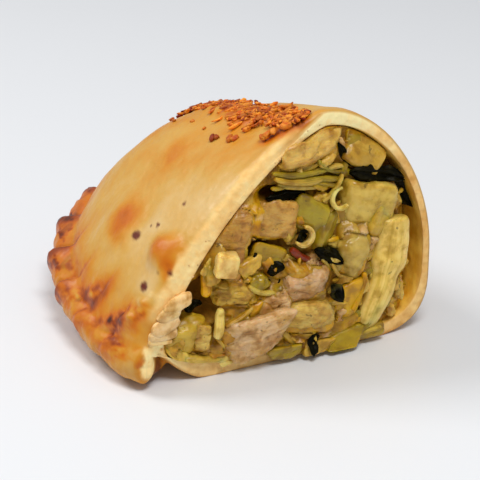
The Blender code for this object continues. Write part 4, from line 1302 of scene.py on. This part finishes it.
# packedFace: the mass as chopped pieces pressed together; each rises from it by
# high * (1 - |u|^3 - |v|^3)^(1/3) + slope . (u, v), and the foremost shows with its colour
def packedFace(x, z, colour, look):
    best = np.zeros(x.shape)
    margin = np.zeros(x.shape)
    shade = colour.copy()
    wobble = np.stack([x, 0 * x, z], -1)
    dx = x + look["wobble"] * cloud(wobble, look["wobbleSpan"], 152)
    dz = z + look["wobble"] * cloud(wobble, look["wobbleSpan"], 153)
    for middleX, middleZ, along, across, turn, high, slopeU, slopeV, tone in packPieces(look):
        u, v = spin(dx - middleX, dz - middleZ, -turn)
        u = u / along
        v = v / across
        inside = 1 - np.abs(u) ** 3 - np.abs(v) ** 3
        room = np.clip(inside, 0, 1) ** look["round"]
        slope = (slopeU * u + slopeV * v) * np.minimum(room, look["tilt"]) * look["tilt"]
        rise = high * room + slope
        front = (rise > best) & (inside > 0)
        best = np.where(front, rise, best)
        margin = np.where(front, inside, margin)
        shade[front] = tone
    share = smoothStep(0.0, look["edge"], margin)[..., None] * look["cover"]
    return best / 1000, blend(colour, shade, share)


bedLook = {
    "rings": 112, "around": 404, "backRings": 12, "back": 83,  # degrees, where its back ends
    "rim": 0.995, "hub": 0.012, "rimFade": 0.06,  # shares of the outline
    "thinnest": 0.0006, "backSpread": 1.1,
    "lumps": (0.0004, 0.0042), "shreds": (0.0003, 0.0017), "clots": (0.00012, 0.0009),  # height, span
    "gapFrom": 0.0008, "gapFull": 0.004,  # depths of a gap over which the pieces in it flatten
    "proudest": -0.0046, "deepest": 0.030,
    "underDice": 0.0012, "behindDice": 0.0011,
}
# Patches of the mass in another colour: x, z, radius in millimetres, colour.
bedPatches = [
    (24.6, 20.4, 5.5, "olive"), (43.4, 12.0, 5.0, "yellow"), (21.0, 12.6, 4.0, "yellow"),
    (5.0, 9.0, 6.0, "pale"), (33.0, 38.6, 6.0, "olive"), (48.0, 28.0, 8.0, "green"),
]


# bedTones: the sauce's colour, mixed towards each patch by a bell with a ragged edge
def bedTones(points):
    colour = np.zeros(points.shape[:-1] + (4,)) + np.array(tint(*tones["sauce"]))
    ragged = 1 + 0.35 * cloud(points, 0.004, 45)
    for x, z, radius, tone in bedPatches:
        away = np.hypot(points[..., 0] * 1000 - x, points[..., 2] * 1000 - z) * ragged
        colour = blend(colour, np.array(tint(*tones[tone])), (0.85 * bell(away, radius))[..., None])
    return colour


# bedShape: the mass behind the pieces; its face is (x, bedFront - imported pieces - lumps, z) over
# shares of the outline, and where a die covers it, it stays just behind the die's front
def bedShape(look):
    phi = evenAngles(look["around"], clearSizes)
    edge = pouch(0.0, phi, clearSizes)
    start = np.clip(bedFront(edge[:, 0] * 1000, edge[:, 2] * 1000), look["thinnest"], 1)
    start = np.arcsin(start / clearSizes["length"])
    shares = np.linspace(1, 0, look["backRings"])[:, None] ** look["backSpread"]
    theta = blend(start, math.radians(look["back"]), shares)
    rings = pouch(theta, phi[None, :] + 0 * shares, clearSizes)
    power = quarterPower(np.cos(phi), np.sin(phi), section(0.0, clearSizes), clearSizes)
    across = signedPower(np.cos(phi), 2 / power)
    up = signedPower(np.sin(phi), 2 / power)
    inward = np.linspace(look["rim"], look["hub"], look["rings"])[:, None]
    face = place(np.zeros((look["rings"], look["around"])), across * inward, up * inward, clearSizes)
    x = face[..., 0] * 1000
    z = face[..., 2] * 1000
    flat = np.stack([face[..., 0], 0 * x, face[..., 2]], -1)
    rise, colour = packedFace(x, z, bedTones(flat), packLook)
    rise = rise * smoothStep(look["gapFull"], look["gapFrom"], gapDepth(x, z))
    rise = rise * smoothStep(0, look["rimFade"], 1 - inward)
    high, span = look["lumps"]
    lumps = high * latticeNoise(flat, span, 41)
    high, span = look["shreds"]
    shreds = high * (0.5 - np.abs(latticeNoise(flat, span, 42)))
    high, span = look["clots"]
    clots = high * cloud(flat, span, 43)
    depth = np.clip(bedFront(x, z) - rise - lumps - shreds - clots, look["proudest"], look["deepest"])
    dice = envelope(x, z)
    covered = dice < faceDepth(x, z) - look["underDice"]
    face[..., 1] = np.where(covered, np.maximum(depth, dice + look["behindDice"]), depth)
    tip = pouch(math.radians(89.9), math.pi / 2, clearSizes)
    points, faces = closedTube(np.concatenate([rings, face]), tip)
    backTones = np.tile(np.array(tint(*tones["sauce"])), (1 + rings.shape[0] * rings.shape[1], 1))
    colour = np.concatenate([backTones, colour.reshape(-1, colour.shape[-1]), colour[-1:, 0]])
    return points, faces, points * 1000, colour


# oneTone: the colour of a piece, each channel up to 6% lighter or darker by chance
def oneTone(tone, count, seed):
    change = np.random.default_rng(seed + 500).uniform(0.94, 1.06, 4)
    return np.tile(np.array(tint(*tones[tone])) * change, (count, 1))


chickenCut = {
    "rings": 52, "around": 92, "cuts": 4, "jitter": 0.17, "edge": 6.5,
    "uneven": 0.46, "wideSpan": 3.6, "closeSpan": 1.7,
    "grainLength": 2.4, "grainWidth": 0.9, "ridge": 0.09, "pits": 0.20, "pitSpan": 1.1,
    "crack": 0.34, "crackStretch": (1.6, 1.0, 0.8), "crackSpan": 2.4, "crackWidth": 0.07,
}
cabbageCut = dict(
    chickenCut, jitter=0.22, edge=8.0, uneven=0.34, grainLength=6.0, ridge=0.06, crack=0.15, pits=0.03
)
cheeseCut = dict(chickenCut, cuts=1, jitter=0.05, edge=8.0, uneven=0.12, ridge=0.0, crack=0.0, pits=0.03)


# chunkShape: q blockRadius(q), sized, with uneven faces, grain along the piece and a few cracks
def chunkShape(row, seed, look):
    x, z, width, height, depth, turn, pitch, yaw, standOut, tone = row
    normals, gaps = blockNormals(np.random.default_rng(seed), 1, look["cuts"], look["jitter"])
    ball = ballGrid(look["rings"], look["around"])
    reach = blockRadius(ball, normals, gaps, look["edge"])[0]
    block = ball * reach[..., None] * (np.array([width, depth, height]) / 2)
    own = block + np.array([seed * 9.7, 0, seed * 4.1])
    wide = look["uneven"] * latticeNoise(own, look["wideSpan"], 51)
    wide = wide + 0.5 * look["uneven"] * cloud(own, look["closeSpan"], 52)
    stretched = own / np.array([look["grainLength"], look["grainWidth"], look["grainWidth"]])
    ridges = look["ridge"] * (0.5 - np.abs(latticeNoise(stretched, 1.0, 53)))
    cracked = latticeNoise(own / np.array(look["crackStretch"]), look["crackSpan"], 55)
    cracks = -look["crack"] * bell(cracked, look["crackWidth"])
    ridges = ridges + cracks + look["pits"] * np.minimum(cloud(own, look["pitSpan"], 54), 0)
    points, faces = closedTube((block + ball * (wide + ridges)[..., None]) / 1000)
    grain = points * 1000 + np.array([seed * 9.7, seed * 2.3, seed * 4.1])
    back, up = spin(points[:, 1], points[:, 2], pitch)
    side, back = spin(points[:, 0], back, yaw)
    y = middleDepth(x, z, depth, standOut)
    points = onFace(np.stack([side, back, up], -1), x, z, turn, y)
    return slumpRoom(points), faces, grain, oneTone(tone, len(points), seed)


# faceTurns: a turn about the face's normal by any angle, then a tilt out of it of about lean radians
def faceTurns(draw, count, lean):
    angle = draw.uniform(0, 2 * math.pi, count)
    tilt = draw.normal(0, lean, count)
    zero = 0 * angle
    one = zero + 1
    c = np.cos(angle)
    s = np.sin(angle)
    turned = np.array([[c, zero, -s], [zero, one, zero], [s, zero, c]])
    c = np.cos(tilt)
    s = np.sin(tilt)
    tipped = np.array([[c, -s, zero], [s, c, zero], [zero, zero, one]])
    return np.einsum("ijn,jkn->nik", turned, tipped)


chickenBits = {
    "seed": 101, "count": 22, "level": 4, "small": 1.6, "large": 3.6, "shape": (1.25, 0.8, 0.85),
    "cuts": 3, "jitter": 0.25, "edge": 5.0, "uneven": 0.36, "span": 1.1, "inside": 0.93,
    "lean": 0.25, "lift": 0.7, "darkest": 0.9, "tones": ["cream", "pink", "pale"],
}
cabbageBits = dict(
    chickenBits, seed=102, count=30, large=4.4, shape=(1.3, 0.6, 0.8),
    tones=["leaf", "green", "olive", "pale"],
)
leekBits = dict(
    chickenBits, seed=103, count=54, level=3, small=1.4, large=3.2, shape=(1.9, 0.40, 0.40),
    uneven=0.2, lift=1.2, tones=["leaf", "yellow", "pale", "olive"],
)
herbBits = dict(
    leekBits, seed=104, count=16, small=0.5, large=1.3, shape=(1.0, 0.3, 0.6), lift=2.4, tones=["dark"]
)


# bitsShape: small blocks of their own cuts, laid in the mass between the dice
def bitsShape(look):
    draw = np.random.default_rng(look["seed"])
    x, z = spotsOnFace(look["count"], draw, look["inside"], True)
    count = len(x)
    template, faces = seedBall(look["level"])
    normals, gaps = blockNormals(draw, count, look["cuts"], look["jitter"])
    reach = blockRadius(template, normals, gaps, look["edge"])
    size = draw.uniform(look["small"], look["large"], count)
    sizes = size[:, None] * draw.uniform(0.65, 1.15, (count, 3)) * np.array(look["shape"])
    own = template[None] * reach[..., None] * sizes[:, None] / 2
    apart = own + draw.uniform(-60, 60, (count, 1, 3))
    wobble = look["uneven"] * cloud(apart, look["span"], look["seed"], 3)
    local = (own + template[None] * wobble[..., None]) / 1000
    turns = faceTurns(draw, count, look["lean"])
    y = bedFront(x, z) - look["lift"] * sizes[:, 1] / 2000
    points, faces = setOut(np.stack([x / 1000, y, z / 1000], -1), turns, local, faces)
    grain = local * 1000 + draw.uniform(-90, 90, (count, 1, 3))
    colour = someTones(draw, look["tones"], count, look["darkest"])
    colour = np.repeat(colour, len(template), axis=0)
    return slumpRoom(points), faces, grain.reshape(-1, 3), colour


stripLook = {
    "rings": 54, "profile": 32, "sidePower": 0.75, "facePower": 0.6, "thinEdge": 0.30,
    "taper": 0.45, "wander": 0.18, "wanderSpan": 3.4, "fan": 0.24, "fanFrom": 4,
    "veins": 0.06, "veinFrom": 1.4, "veinCount": 7, "ripple": 0.26, "rippleSpan": 2.6,
}


# stripShape: a profile carried along an arc of the given angle, radius = length / angle, edges thin,
# tapered at both ends and, where it is wide, fanned out towards one
def stripShape(row, seed, look):
    x, z, length, width, depth, turn, standOut, bend, tone = row
    rings = look["rings"]
    profile = look["profile"]
    arc = math.radians(bend)
    radius = length / arc
    lean = arc * np.linspace(-0.5, 0.5, rings)
    middle = np.stack([radius * np.sin(lean), 0 * lean, radius * (1 - np.cos(lean))], -1)
    middle[:, 2] -= radius * (1 - math.cos(arc / 2)) / 2
    side = np.stack([-np.sin(lean), 0 * lean, np.cos(lean)], -1)
    around = circle(profile)
    a = 0.5 * signedPower(np.cos(around), look["sidePower"])
    b = 0.5 * signedPower(np.sin(around), look["facePower"])
    along = 2 * lean / arc
    wander = latticeNoise(middle + np.array([seed * 3.9, 0, 0]), look["wanderSpan"], 62)
    taper = (1 - look["taper"] * np.abs(along) ** 6) * (1 + look["wander"] * wander)
    taper = taper * (1 + look["fan"] * along * (width > look["fanFrom"]))
    veins = look["veins"] * min(1, look["veinFrom"] / width) ** 2 * np.cos(look["veinCount"] * math.pi * a)
    ripple = look["ripple"] * latticeNoise(middle + np.array([seed * 5.3, 0, 0]), look["rippleSpan"], 61)
    face = b * (1 - look["thinEdge"] * (2 * a) ** 2) + veins * (b < 0)
    local = middle[:, None] + side[:, None] * (width * taper[:, None] * a[None, :])[..., None]
    local[..., 1] += depth * face[None, :] * taper[:, None] ** 0.5 + ripple[:, None]
    points, faces = closedTube(local / 1000)
    far = np.repeat(np.linspace(0, length, rings), profile)
    grain = np.stack([far, np.tile(a, rings) * width, np.tile(b, rings)], -1)
    grain = np.concatenate([grain[:1], grain, grain[-1:]]) + np.array([seed * 7.7, seed * 1.9, 0])
    points = onFace(points, x, z, turn, middleDepth(x, z, depth, standOut))
    return slumpRoom(points), faces, grain, oneTone(tone, len(points), seed)


leafLook = {
    "rings": 46, "around": 44, "thick": 0.3, "wavesAlong": 2.2, "wavesAcross": 4,
    "ragged": 0.28, "raggedSpan": 1.3, "crinkle": 0.35, "crinkleSpan": 1.5,
}


# leafShape: y = wave sin(2.2 pi u + 0.6) + wave / 2 cos(4 pi v + 3 u), width * sqrt(1 - 4 u^2) with a
# ragged edge, as a thin closed sheet
def leafShape(row, seed, look):
    x, z, length, width, turn, standOut, wave = row
    u = np.linspace(-0.5, 0.5, look["rings"])[:, None]
    around = circle(look["around"])[None, :]
    v = 0.5 * signedPower(np.cos(around), 0.8)
    skin = 0.5 * signedPower(np.sin(around), 0.5)
    outline = np.sqrt(np.clip(1 - (2 * u) ** 2, 0.03, 1))
    alongLeaf = length * u + 0 * v
    spot = np.stack([alongLeaf, 0 * alongLeaf, np.sign(v) + 0 * u], -1)
    ragged = 1 + look["ragged"] * latticeNoise(spot + seed * 3.1, look["raggedSpan"], 71)
    ripple = wave * np.sin(look["wavesAlong"] * math.pi * u + 0.6)
    ripple = ripple + 0.5 * wave * np.cos(look["wavesAcross"] * math.pi * v + 3 * u)
    crinkle = np.stack([alongLeaf, 0 * alongLeaf, width * v + 0 * u], -1) + seed * 2.7
    ripple = ripple + look["crinkle"] * cloud(crinkle, look["crinkleSpan"], 72)
    sheet = ripple + look["thick"] * skin
    local = np.stack([alongLeaf, sheet, width * v * outline * ragged], -1) / 1000
    points, faces = closedTube(local)
    grain = points * 1000 + seed * 4.4
    points = onFace(points, x, z, turn, faceDepth(x, z) - standOut / 1000)
    return slumpRoom(points), faces, grain, oneTone("dark", len(points), seed)


# Torn dough at the seam's corner: x, z, width, height, depth, turn, stand out from the cut.
tornDough = [
    (4.6, 17.9, 6.4, 3.0, 1.9, 18, 1.6),
    (2.6, 15.8, 5.0, 3.0, 2.0, 32, 1.5),
    (2.0, 13.6, 5.8, 3.0, 2.0, 20, 1.5),
    (1.2, 11.6, 5.8, 2.6, 2.0, 4, 1.3),
    (0.8, 10.3, 5.0, 1.2, 1.4, -10, 1.1),
]


tornLook = {
    "rings": 32, "around": 56, "uneven": 0.14, "unevenSpan": 1.9,
    "folds": 0.09, "foldStretch": (0.25, 0.6, 1.3), "foldSpan": 1.3,
}


# tornShape: a soft lump, |q|^3 ball with folds of noise
def tornShape(row, seed, look):
    x, z, width, height, depth, turn, standOut = row
    ball = ballGrid(look["rings"], look["around"])
    ball = ball / ((np.abs(ball) ** 3).sum(axis=-1) ** (1 / 3))[..., None]
    lump = ball * (np.array([width, depth, height]) / 2)
    own = lump + np.array([seed * 9.7, 0, seed * 4.1])
    folded = latticeNoise(own * np.array(look["foldStretch"]), look["foldSpan"], 92)
    folded = look["folds"] * (0.5 - np.abs(folded))
    uneven = 1 + look["uneven"] * cloud(own, look["unevenSpan"], 91)
    points, faces = closedTube(lump * (uneven + folded)[..., None] / 1000)
    grain = points * 1000 + seed * 3.3
    points = onFace(points, x, z, turn, (depth / 2 - standOut) / 1000)
    return points, faces, grain, oneTone("dough", len(points), seed)


# randomTurns: turns from random unit quaternions (w, i, j, k)
def randomTurns(draw, count):
    w, i, j, k = unit(draw.standard_normal((count, 4))).T
    rows = [
        [1 - 2 * (j * j + k * k), 2 * (i * j - k * w), 2 * (i * k + j * w)],
        [2 * (i * j + k * w), 1 - 2 * (i * i + k * k), 2 * (j * k - i * w)],
        [2 * (i * k - j * w), 2 * (j * k + i * w), 1 - 2 * (i * i + j * j)],
    ]
    return np.moveaxis(np.array(rows), 2, 0)


crumbLook = {
    "count": 34, "small": 0.00016, "large": 0.00036, "wobble": 0.28, "seed": 17,
    "atSeam": 0.4, "seam": (172, 10, 150, 200),  # share of them there; middle, spread and range in degrees
    "rim": (96, 180), "outermost": 0.12,
}


# looseCrumbs: small lumps on the rim between the outer and the hollow outline, most on its inner side,
# p = centre + turn (size * ball * (1 + wobble * noise))
def looseCrumbs(look):
    draw = np.random.default_rng(look["seed"])
    count = look["count"]
    seam = draw.uniform(0, 1, count) < look["atSeam"]
    seamPhi, spread, lowest, highest = look["seam"]
    nearSeam = np.clip(seamPhi + spread * draw.standard_normal(count), lowest, highest)
    phi = np.radians(np.where(seam, nearSeam, draw.uniform(*look["rim"], count)))
    share = draw.uniform(look["outermost"], 1.0, count)[:, None] ** 0.5
    centres = pouch(0.0, phi, pouchSizes) * (1 - share) + pouch(0.0, phi, hollowSizes) * share
    size = draw.uniform(look["small"], look["large"], count)
    centres[:, 1] = -0.1 * size
    sizes = size[:, None] * draw.uniform(0.7, 1.4, (count, 3))
    template, faces = seedBall(2)
    draw = np.random.default_rng(look["seed"])  # the turns and bumps start the draws again
    turns = randomTurns(draw, count)
    own = template[None] + draw.uniform(-40, 40, (count, 1, 3))
    bumpy = 1 + look["wobble"] * cloud(own, 0.9, look["seed"])
    local = template[None] * bumpy[..., None] * sizes[:, None]
    points, faces = setOut(centres, turns, local, faces)
    return points, faces, (local * 1000).reshape(-1, 3), oneTone("dough", len(points), 3)


# foodMaterial: the piece's own tone times a ramp over fibres that run along its grain, dapples,
# blotches of sauce and dark specks; where it is sunk a painted shade darkens it, and it is duller there
def foodMaterial(name, finish):
    material, tree, surface, where = newMaterial(name, finish)
    sunkShade = attribute(tree, "sunkShade", "Fac")
    stretched = {"Vector": attribute(tree, "grain", "Vector"), "Scale": finish["stretch"]}
    along = addNode(tree, "ShaderNodeMapping", {}, stretched).outputs["Vector"]
    fibres = mottle(tree, along, finish["fibre"], 0.28, 0.72)
    dapple = mottle(tree, where, *finish["dappled"])
    colour = attribute(tree, "tone", "Color")
    for mask, ramp in ((fibres, "ramp"), (dapple, "dapple")):
        colour = mixColours(tree, 1.0, colour, colourRamp(tree, mask, finish[ramp]), "MULTIPLY")
    blotch = mottle(tree, where, *finish["blotched"])
    blotch = calculate(tree, "MULTIPLY", blotch, finish["blotchShare"])
    blotch = calculate(tree, "MAXIMUM", blotch, calculate(tree, "MULTIPLY", sunkShade, finish["film"]))
    colour = mixColours(tree, blotch, colour, tint(*finish["blotch"]))
    specks = calculate(tree, "MULTIPLY", mottle(tree, where, *finish["speckled"]), finish["specks"])
    colour = mixColours(tree, specks, colour, tint(*finish["speck"]))
    # painted shade: darker towards the deep colour where the piece is sunk behind its neighbours
    deep = calculate(tree, "MULTIPLY", sunkShade, finish["shadeShare"])
    colour = mixColours(tree, deep, colour, tint(*finish["deep"]), "MULTIPLY")
    feed(tree, surface["Base Color"], colour)
    glaze = calculate(tree, "MULTIPLY_ADD", sunkShade, -finish["coat"], finish["coat"])
    feed(tree, surface["Coat Weight"], glaze)
    wet = mottle(tree, where, *finish["wet"])
    spread = finish["wetSpread"]
    rough = calculate(tree, "MULTIPLY_ADD", wet, spread, finish["roughness"] - spread / 2)
    rough = calculate(tree, "MULTIPLY_ADD", sunkShade, finish["sunkDull"], rough)
    feed(tree, surface["Roughness"], rough)
    ribs = calculate(tree, "MULTIPLY", fibres, finish["ribs"])
    addBump(tree, surface, where, finish["grit"], 0.3, finish["bump"], ribs=ribs)
    return material


# threeStops: three colours at the start, a place between and the end of a ramp
def threeStops(first, second, third, middle=0.5):
    return [(0.0, first), (middle, second), (1.0, third)]


# Finishes: "dappled", "blotched", "speckled" and "wet" are the scale, low and high of their mottling.
chickenFinish = {
    "roughness": 0.46, "coat": 0.30, "shine": 0.28, "soft": 0.45, "radius": 0.0012,
    "stretch": (0.30, 1.1, 1.1), "fibre": 0.8, "grit": 700.0, "bump": 0.00042, "ribs": 0.5,
    "ramp": threeStops((255, 254, 248), (250, 242, 226), (234, 214, 182), 0.6),
    "dapple": threeStops((255, 255, 255), (246, 238, 218), (204, 180, 132)),
    "blotch": (204, 156, 12), "blotched": (170.0, 0.48, 0.74), "blotchShare": 0.42, "film": 0.8,
    "speck": (84, 62, 12), "speckled": (760.0, 0.66, 0.73), "specks": 0.6,
    # the deep colour and its share are the painted shade where a piece is sunk
    "deep": (130, 88, 0), "shadeShare": 0.85, "dappled": (400.0, 0.32, 0.70),
    "wet": (260.0, 0.35, 0.7), "wetSpread": 0.30, "sunkDull": 0.4,
}
cabbageFinish = dict(
    chickenFinish, roughness=0.42, coat=0.34, stretch=(0.25, 0.6, 0.8), fibre=0.5,
    ramp=threeStops((255, 255, 246), (246, 240, 218), (226, 214, 168)),
    dapple=threeStops((255, 255, 250), (246, 240, 212), (206, 190, 120)),
    blotch=(204, 166, 20), blotchShare=0.45, grit=460.0, bump=0.00018, ribs=0.3, deep=(120, 96, 0),
)
leekFinish = dict(
    cabbageFinish, stretch=(0.08, 1.6, 1.0), fibre=0.8,
    ramp=threeStops((255, 255, 244), (248, 244, 214), (228, 220, 160)), blotchShare=0.4, ribs=0.16,
)
sauceFinish = dict(
    chickenFinish, roughness=0.40, coat=0.40, soft=0.35, stretch=(0.6, 0.6, 1.0), fibre=0.4,
    ramp=threeStops((255, 253, 240), (246, 236, 204), (222, 202, 148)),
    blotch=(190, 142, 4), blotched=(260.0, 0.50, 0.74), blotchShare=0.5,
    grit=520.0, bump=0.0003, deep=(146, 110, 0), shadeShare=0.75,
)
spinachFinish = dict(
    sauceFinish, roughness=0.46, coat=0.02, shine=0.06, soft=0.05, stretch=(0.4, 1.0, 1.0), fibre=0.8,
    ramp=threeStops((255, 255, 240), (206, 210, 170), (130, 134, 104)),
    dapple=[(0.0, (255, 255, 255)), (1.0, (206, 200, 160))],
    blotch=(92, 82, 22), blotched=(240.0, 0.58, 0.78), blotchShare=0.8,
    film=0.0, specks=0.0, grit=800.0, shadeShare=0.35,
)
softCheeseFinish = dict(
    chickenFinish, roughness=0.36, soft=0.5, radius=0.002, stretch=(1.0, 1.0, 1.0), fibre=0.4,
    blotch=(236, 200, 112), blotchShare=0.4, film=0.3, specks=0.0, bump=0.0001, shadeShare=0.4,
)
doughFinish = dict(
    chickenFinish, roughness=0.66, coat=0.0, soft=0.15, stretch=(1.0, 1.0, 1.0), fibre=0.6,
    blotch=(238, 198, 140), blotched=(300.0, 0.48, 0.74), blotchShare=0.4, film=0.0, specks=0.0,
    bump=0.0003, ribs=0.3, shadeShare=0.0,
)
foodFinishes = {
    "chicken": chickenFinish, "cabbage": cabbageFinish, "leek": leekFinish, "spinach": spinachFinish,
    "soft cheese": softCheeseFinish, "cream sauce": sauceFinish, "torn dough": doughFinish,
}
foodMaterials = {name: foodMaterial(name, finish) for name, finish in foodFinishes.items()}
print("filling materials ready")

# A raster over the cut face, in millimetres: size of its cells, where it starts and how far it goes.
faceCells = {"size": 0.3, "left": 8, "below": 2, "wide": 78, "high": 58}


# cellNumbers: the column and row of the raster's cell that each point is in
def cellNumbers(points, cells):
    columns = int(cells["wide"] / cells["size"]) - 1
    rows = int(cells["high"] / cells["size"]) - 1
    i = np.clip((points[:, 0] * 1000 + cells["left"]) / cells["size"], 0, columns).astype(int)
    k = np.clip((points[:, 2] * 1000 + cells["below"]) / cells["size"], 0, rows).astype(int)
    return i, k


# faceRaster: the foremost y of all the points in each cell, empty cells filled from around four
# times, then blurred by each radius
def faceRaster(points, cells, radii):
    points = points[points[:, 1] < 0.012]
    empty = 1.0
    raster = np.full((int(cells["wide"] / cells["size"]), int(cells["high"] / cells["size"])), empty)
    np.minimum.at(raster, cellNumbers(points, cells), points[:, 1])
    for step in range(4):
        near = raster.copy()
        near[1:] = np.minimum(near[1:], raster[:-1])
        near[:-1] = np.minimum(near[:-1], raster[1:])
        near[:, 1:] = np.minimum(near[:, 1:], raster[:, :-1])
        near[:, :-1] = np.minimum(near[:, :-1], raster[:, 1:])
        raster = np.where(raster > empty / 2, near, raster)
    raster = np.where(raster > empty / 2, 0.0, raster)
    x, z = [np.arange(number) * cells["size"] for number in raster.shape]
    return [blurRows(x, radius) @ raster @ blurRows(z, radius).T for radius in radii]


# The two blurs in millimetres, and shares and depths in metres of the painted shade where a piece lies
# behind and of the painted highlight where it stands out in front.
sunkLook = {
    "blurs": (0.8, 2.4), "close": 0.50, "closeFull": 0.0012,
    "wide": 0.60, "wideFrom": 0.0002, "wideFull": 0.0032,
    "lighter": 0.19, "lighterFrom": 0.0001, "lighterFull": 0.0009,
}


# buildFood: every shape as an object; painted shade = close * step(depth behind the close blur) + wide *
# step(depth behind the wide blur), and the filling's pieces get a painted highlight where they stand out
def buildFood(shapes, cells, look):
    everyPoint = np.concatenate([row[0][0] for row in shapes.values()])
    close, wide = faceRaster(everyPoint, cells, look["blurs"])
    for name, (shape, material, node) in shapes.items():
        points, faces, grain, colour = shape
        own = cellNumbers(points, cells)
        behind = points[:, 1] - close[own]
        farBehind = smoothStep(look["wideFrom"], look["wideFull"], points[:, 1] - wide[own])
        justBehind = smoothStep(0.0, look["closeFull"], behind)
        # painted shade: how far a point lies behind the blurred fronts, darkening it in the material
        sunkShade = np.clip(look["close"] * justBehind + look["wide"] * farBehind, 0, 1)
        # painted highlight: the filling's pieces are lighter where they stand out in front of the close blur
        highlightShare = smoothStep(look["lighterFrom"], look["lighterFull"], -behind) * (node == "filling")
        colour = np.minimum(colour * (1 + look["lighter"] * highlightShare)[:, None], 1.0)
        thing = addFoodPiece(name, points, faces, grain, colour)
        addValues(thing.data, "sunkShade", "FLOAT", "value", sunkShade)
        dressPiece(thing, foodMaterials[material], node)


# fromRows: a shape for each row of a table joined to one, with seeds from the first one on
def fromRows(make, rows, firstSeed, *looks):
    return joinShapes([make(row, firstSeed + k, *looks) for k, row in enumerate(rows)])


foodShapes = {
    "fillingBed": (bedShape(bedLook), "cream sauce", "filling"),
    "chickenDice": (fromRows(chunkShape, chickenDice, 1, chickenCut), "chicken", "filling"),
    "cabbageDice": (fromRows(chunkShape, cabbageDice, 31, cabbageCut), "cabbage", "filling"),
    "cheeseDice": (fromRows(chunkShape, cheeseDice, 61, cheeseCut), "soft cheese", "filling"),
    "chickenBits": (bitsShape(chickenBits), "chicken", "filling"),
    "cabbageBits": (bitsShape(cabbageBits), "cabbage", "filling"),
    "leekBits": (bitsShape(leekBits), "leek", "filling"),
    "herbBits": (bitsShape(herbBits), "spinach", "filling"),
    "leekStrips": (fromRows(stripShape, leekStrips, 1, stripLook), "leek", "filling"),
    "pepperStrips": (fromRows(stripShape, pepperStrips, 1, stripLook), "leek", "filling"),
    "spinachLeaves": (fromRows(leafShape, spinachLeaves, 1, leafLook), "spinach", "filling"),
    "tornDough": (fromRows(tornShape, tornDough, 1, tornLook), "torn dough", "crust"),
    "doughCrumbs": (looseCrumbs(crumbLook), "torn dough", "crust"),
}
print("filling shapes made")
buildFood(foodShapes, faceCells, sunkLook)
print("filling and torn dough made")


studio = {
    "floor": (0.80, 0.81, 0.83), "gloss": 0.45, "side": 3.0, "sky": 0.36, "air": (0.96, 0.98, 1.0, 1),
    "lampAim": (0, 0, 0.02),
    "lamps": {  # spot, width and power
        "keyLight": ((-0.34, 0.34, 0.56), 0.34, 2.5),
        "topLight": ((-0.04, -0.34, 0.66), 0.30, 3.05),
    },
    "eye": (-0.1651, -0.3298, 0.1686), "aim": (0.0039, -0.0075, 0.0167),
    "lens": 138.0, "sensor": 36,  # millimetres
}


# makeFloor: a wide square under the part
def makeFloor(look):
    side = look["side"]
    mesh = bpy.data.meshes.new("floor")
    corners = [(-side, -side, 0), (side, -side, 0), (side, side, 0), (-side, side, 0)]
    mesh.from_pydata(corners, [], [(0, 1, 2, 3)])
    material = bpy.data.materials.new("pale floor")
    material.use_nodes = True
    surface = material.node_tree.nodes["Principled BSDF"].inputs
    surface["Base Color"].default_value = (*look["floor"], 1)
    surface["Roughness"].default_value = look["gloss"]
    mesh.materials.append(material)
    floor = addObject("floor", mesh)


# aimFrom: a lamp or camera at a spot, its -Z axis towards the target
def aimFrom(name, data, spot, target):
    thing = addObject(name, data)
    thing.location = spot
    thing.rotation_euler = (Vector(target) - Vector(spot)).to_track_quat("-Z", "Y").to_euler()
    return thing


# addLamps: round area lamps, each with its spot, width and power
def addLamps(look):
    for name, (spot, width, power) in look["lamps"].items():
        lamp = bpy.data.lights.new(name, "AREA")
        lamp.shape = "DISK"
        lamp.size = width
        lamp.energy = power
        aimFrom(name, lamp, spot, look["lampAim"])


# makeCamera: the photo's view of the part
def makeCamera(look):
    camera = bpy.data.cameras.new("camera")
    camera.lens = look["lens"]
    camera.sensor_width = look["sensor"]
    bpy.context.scene.camera = aimFrom("camera", camera, look["eye"], look["aim"])


# makeAir: even light from all around
def makeAir(look):
    world = bpy.data.worlds.new("soft room")
    world.use_nodes = True
    inputs = world.node_tree.nodes["Background"].inputs
    inputs["Color"].default_value = look["air"]
    inputs["Strength"].default_value = look["sky"]
    bpy.context.scene.world = world
    bpy.context.scene.view_settings.view_transform = "Standard"


makeFloor(studio)
addLamps(studio)
makeAir(studio)
makeCamera(studio)
print("floor, lights and camera placed")
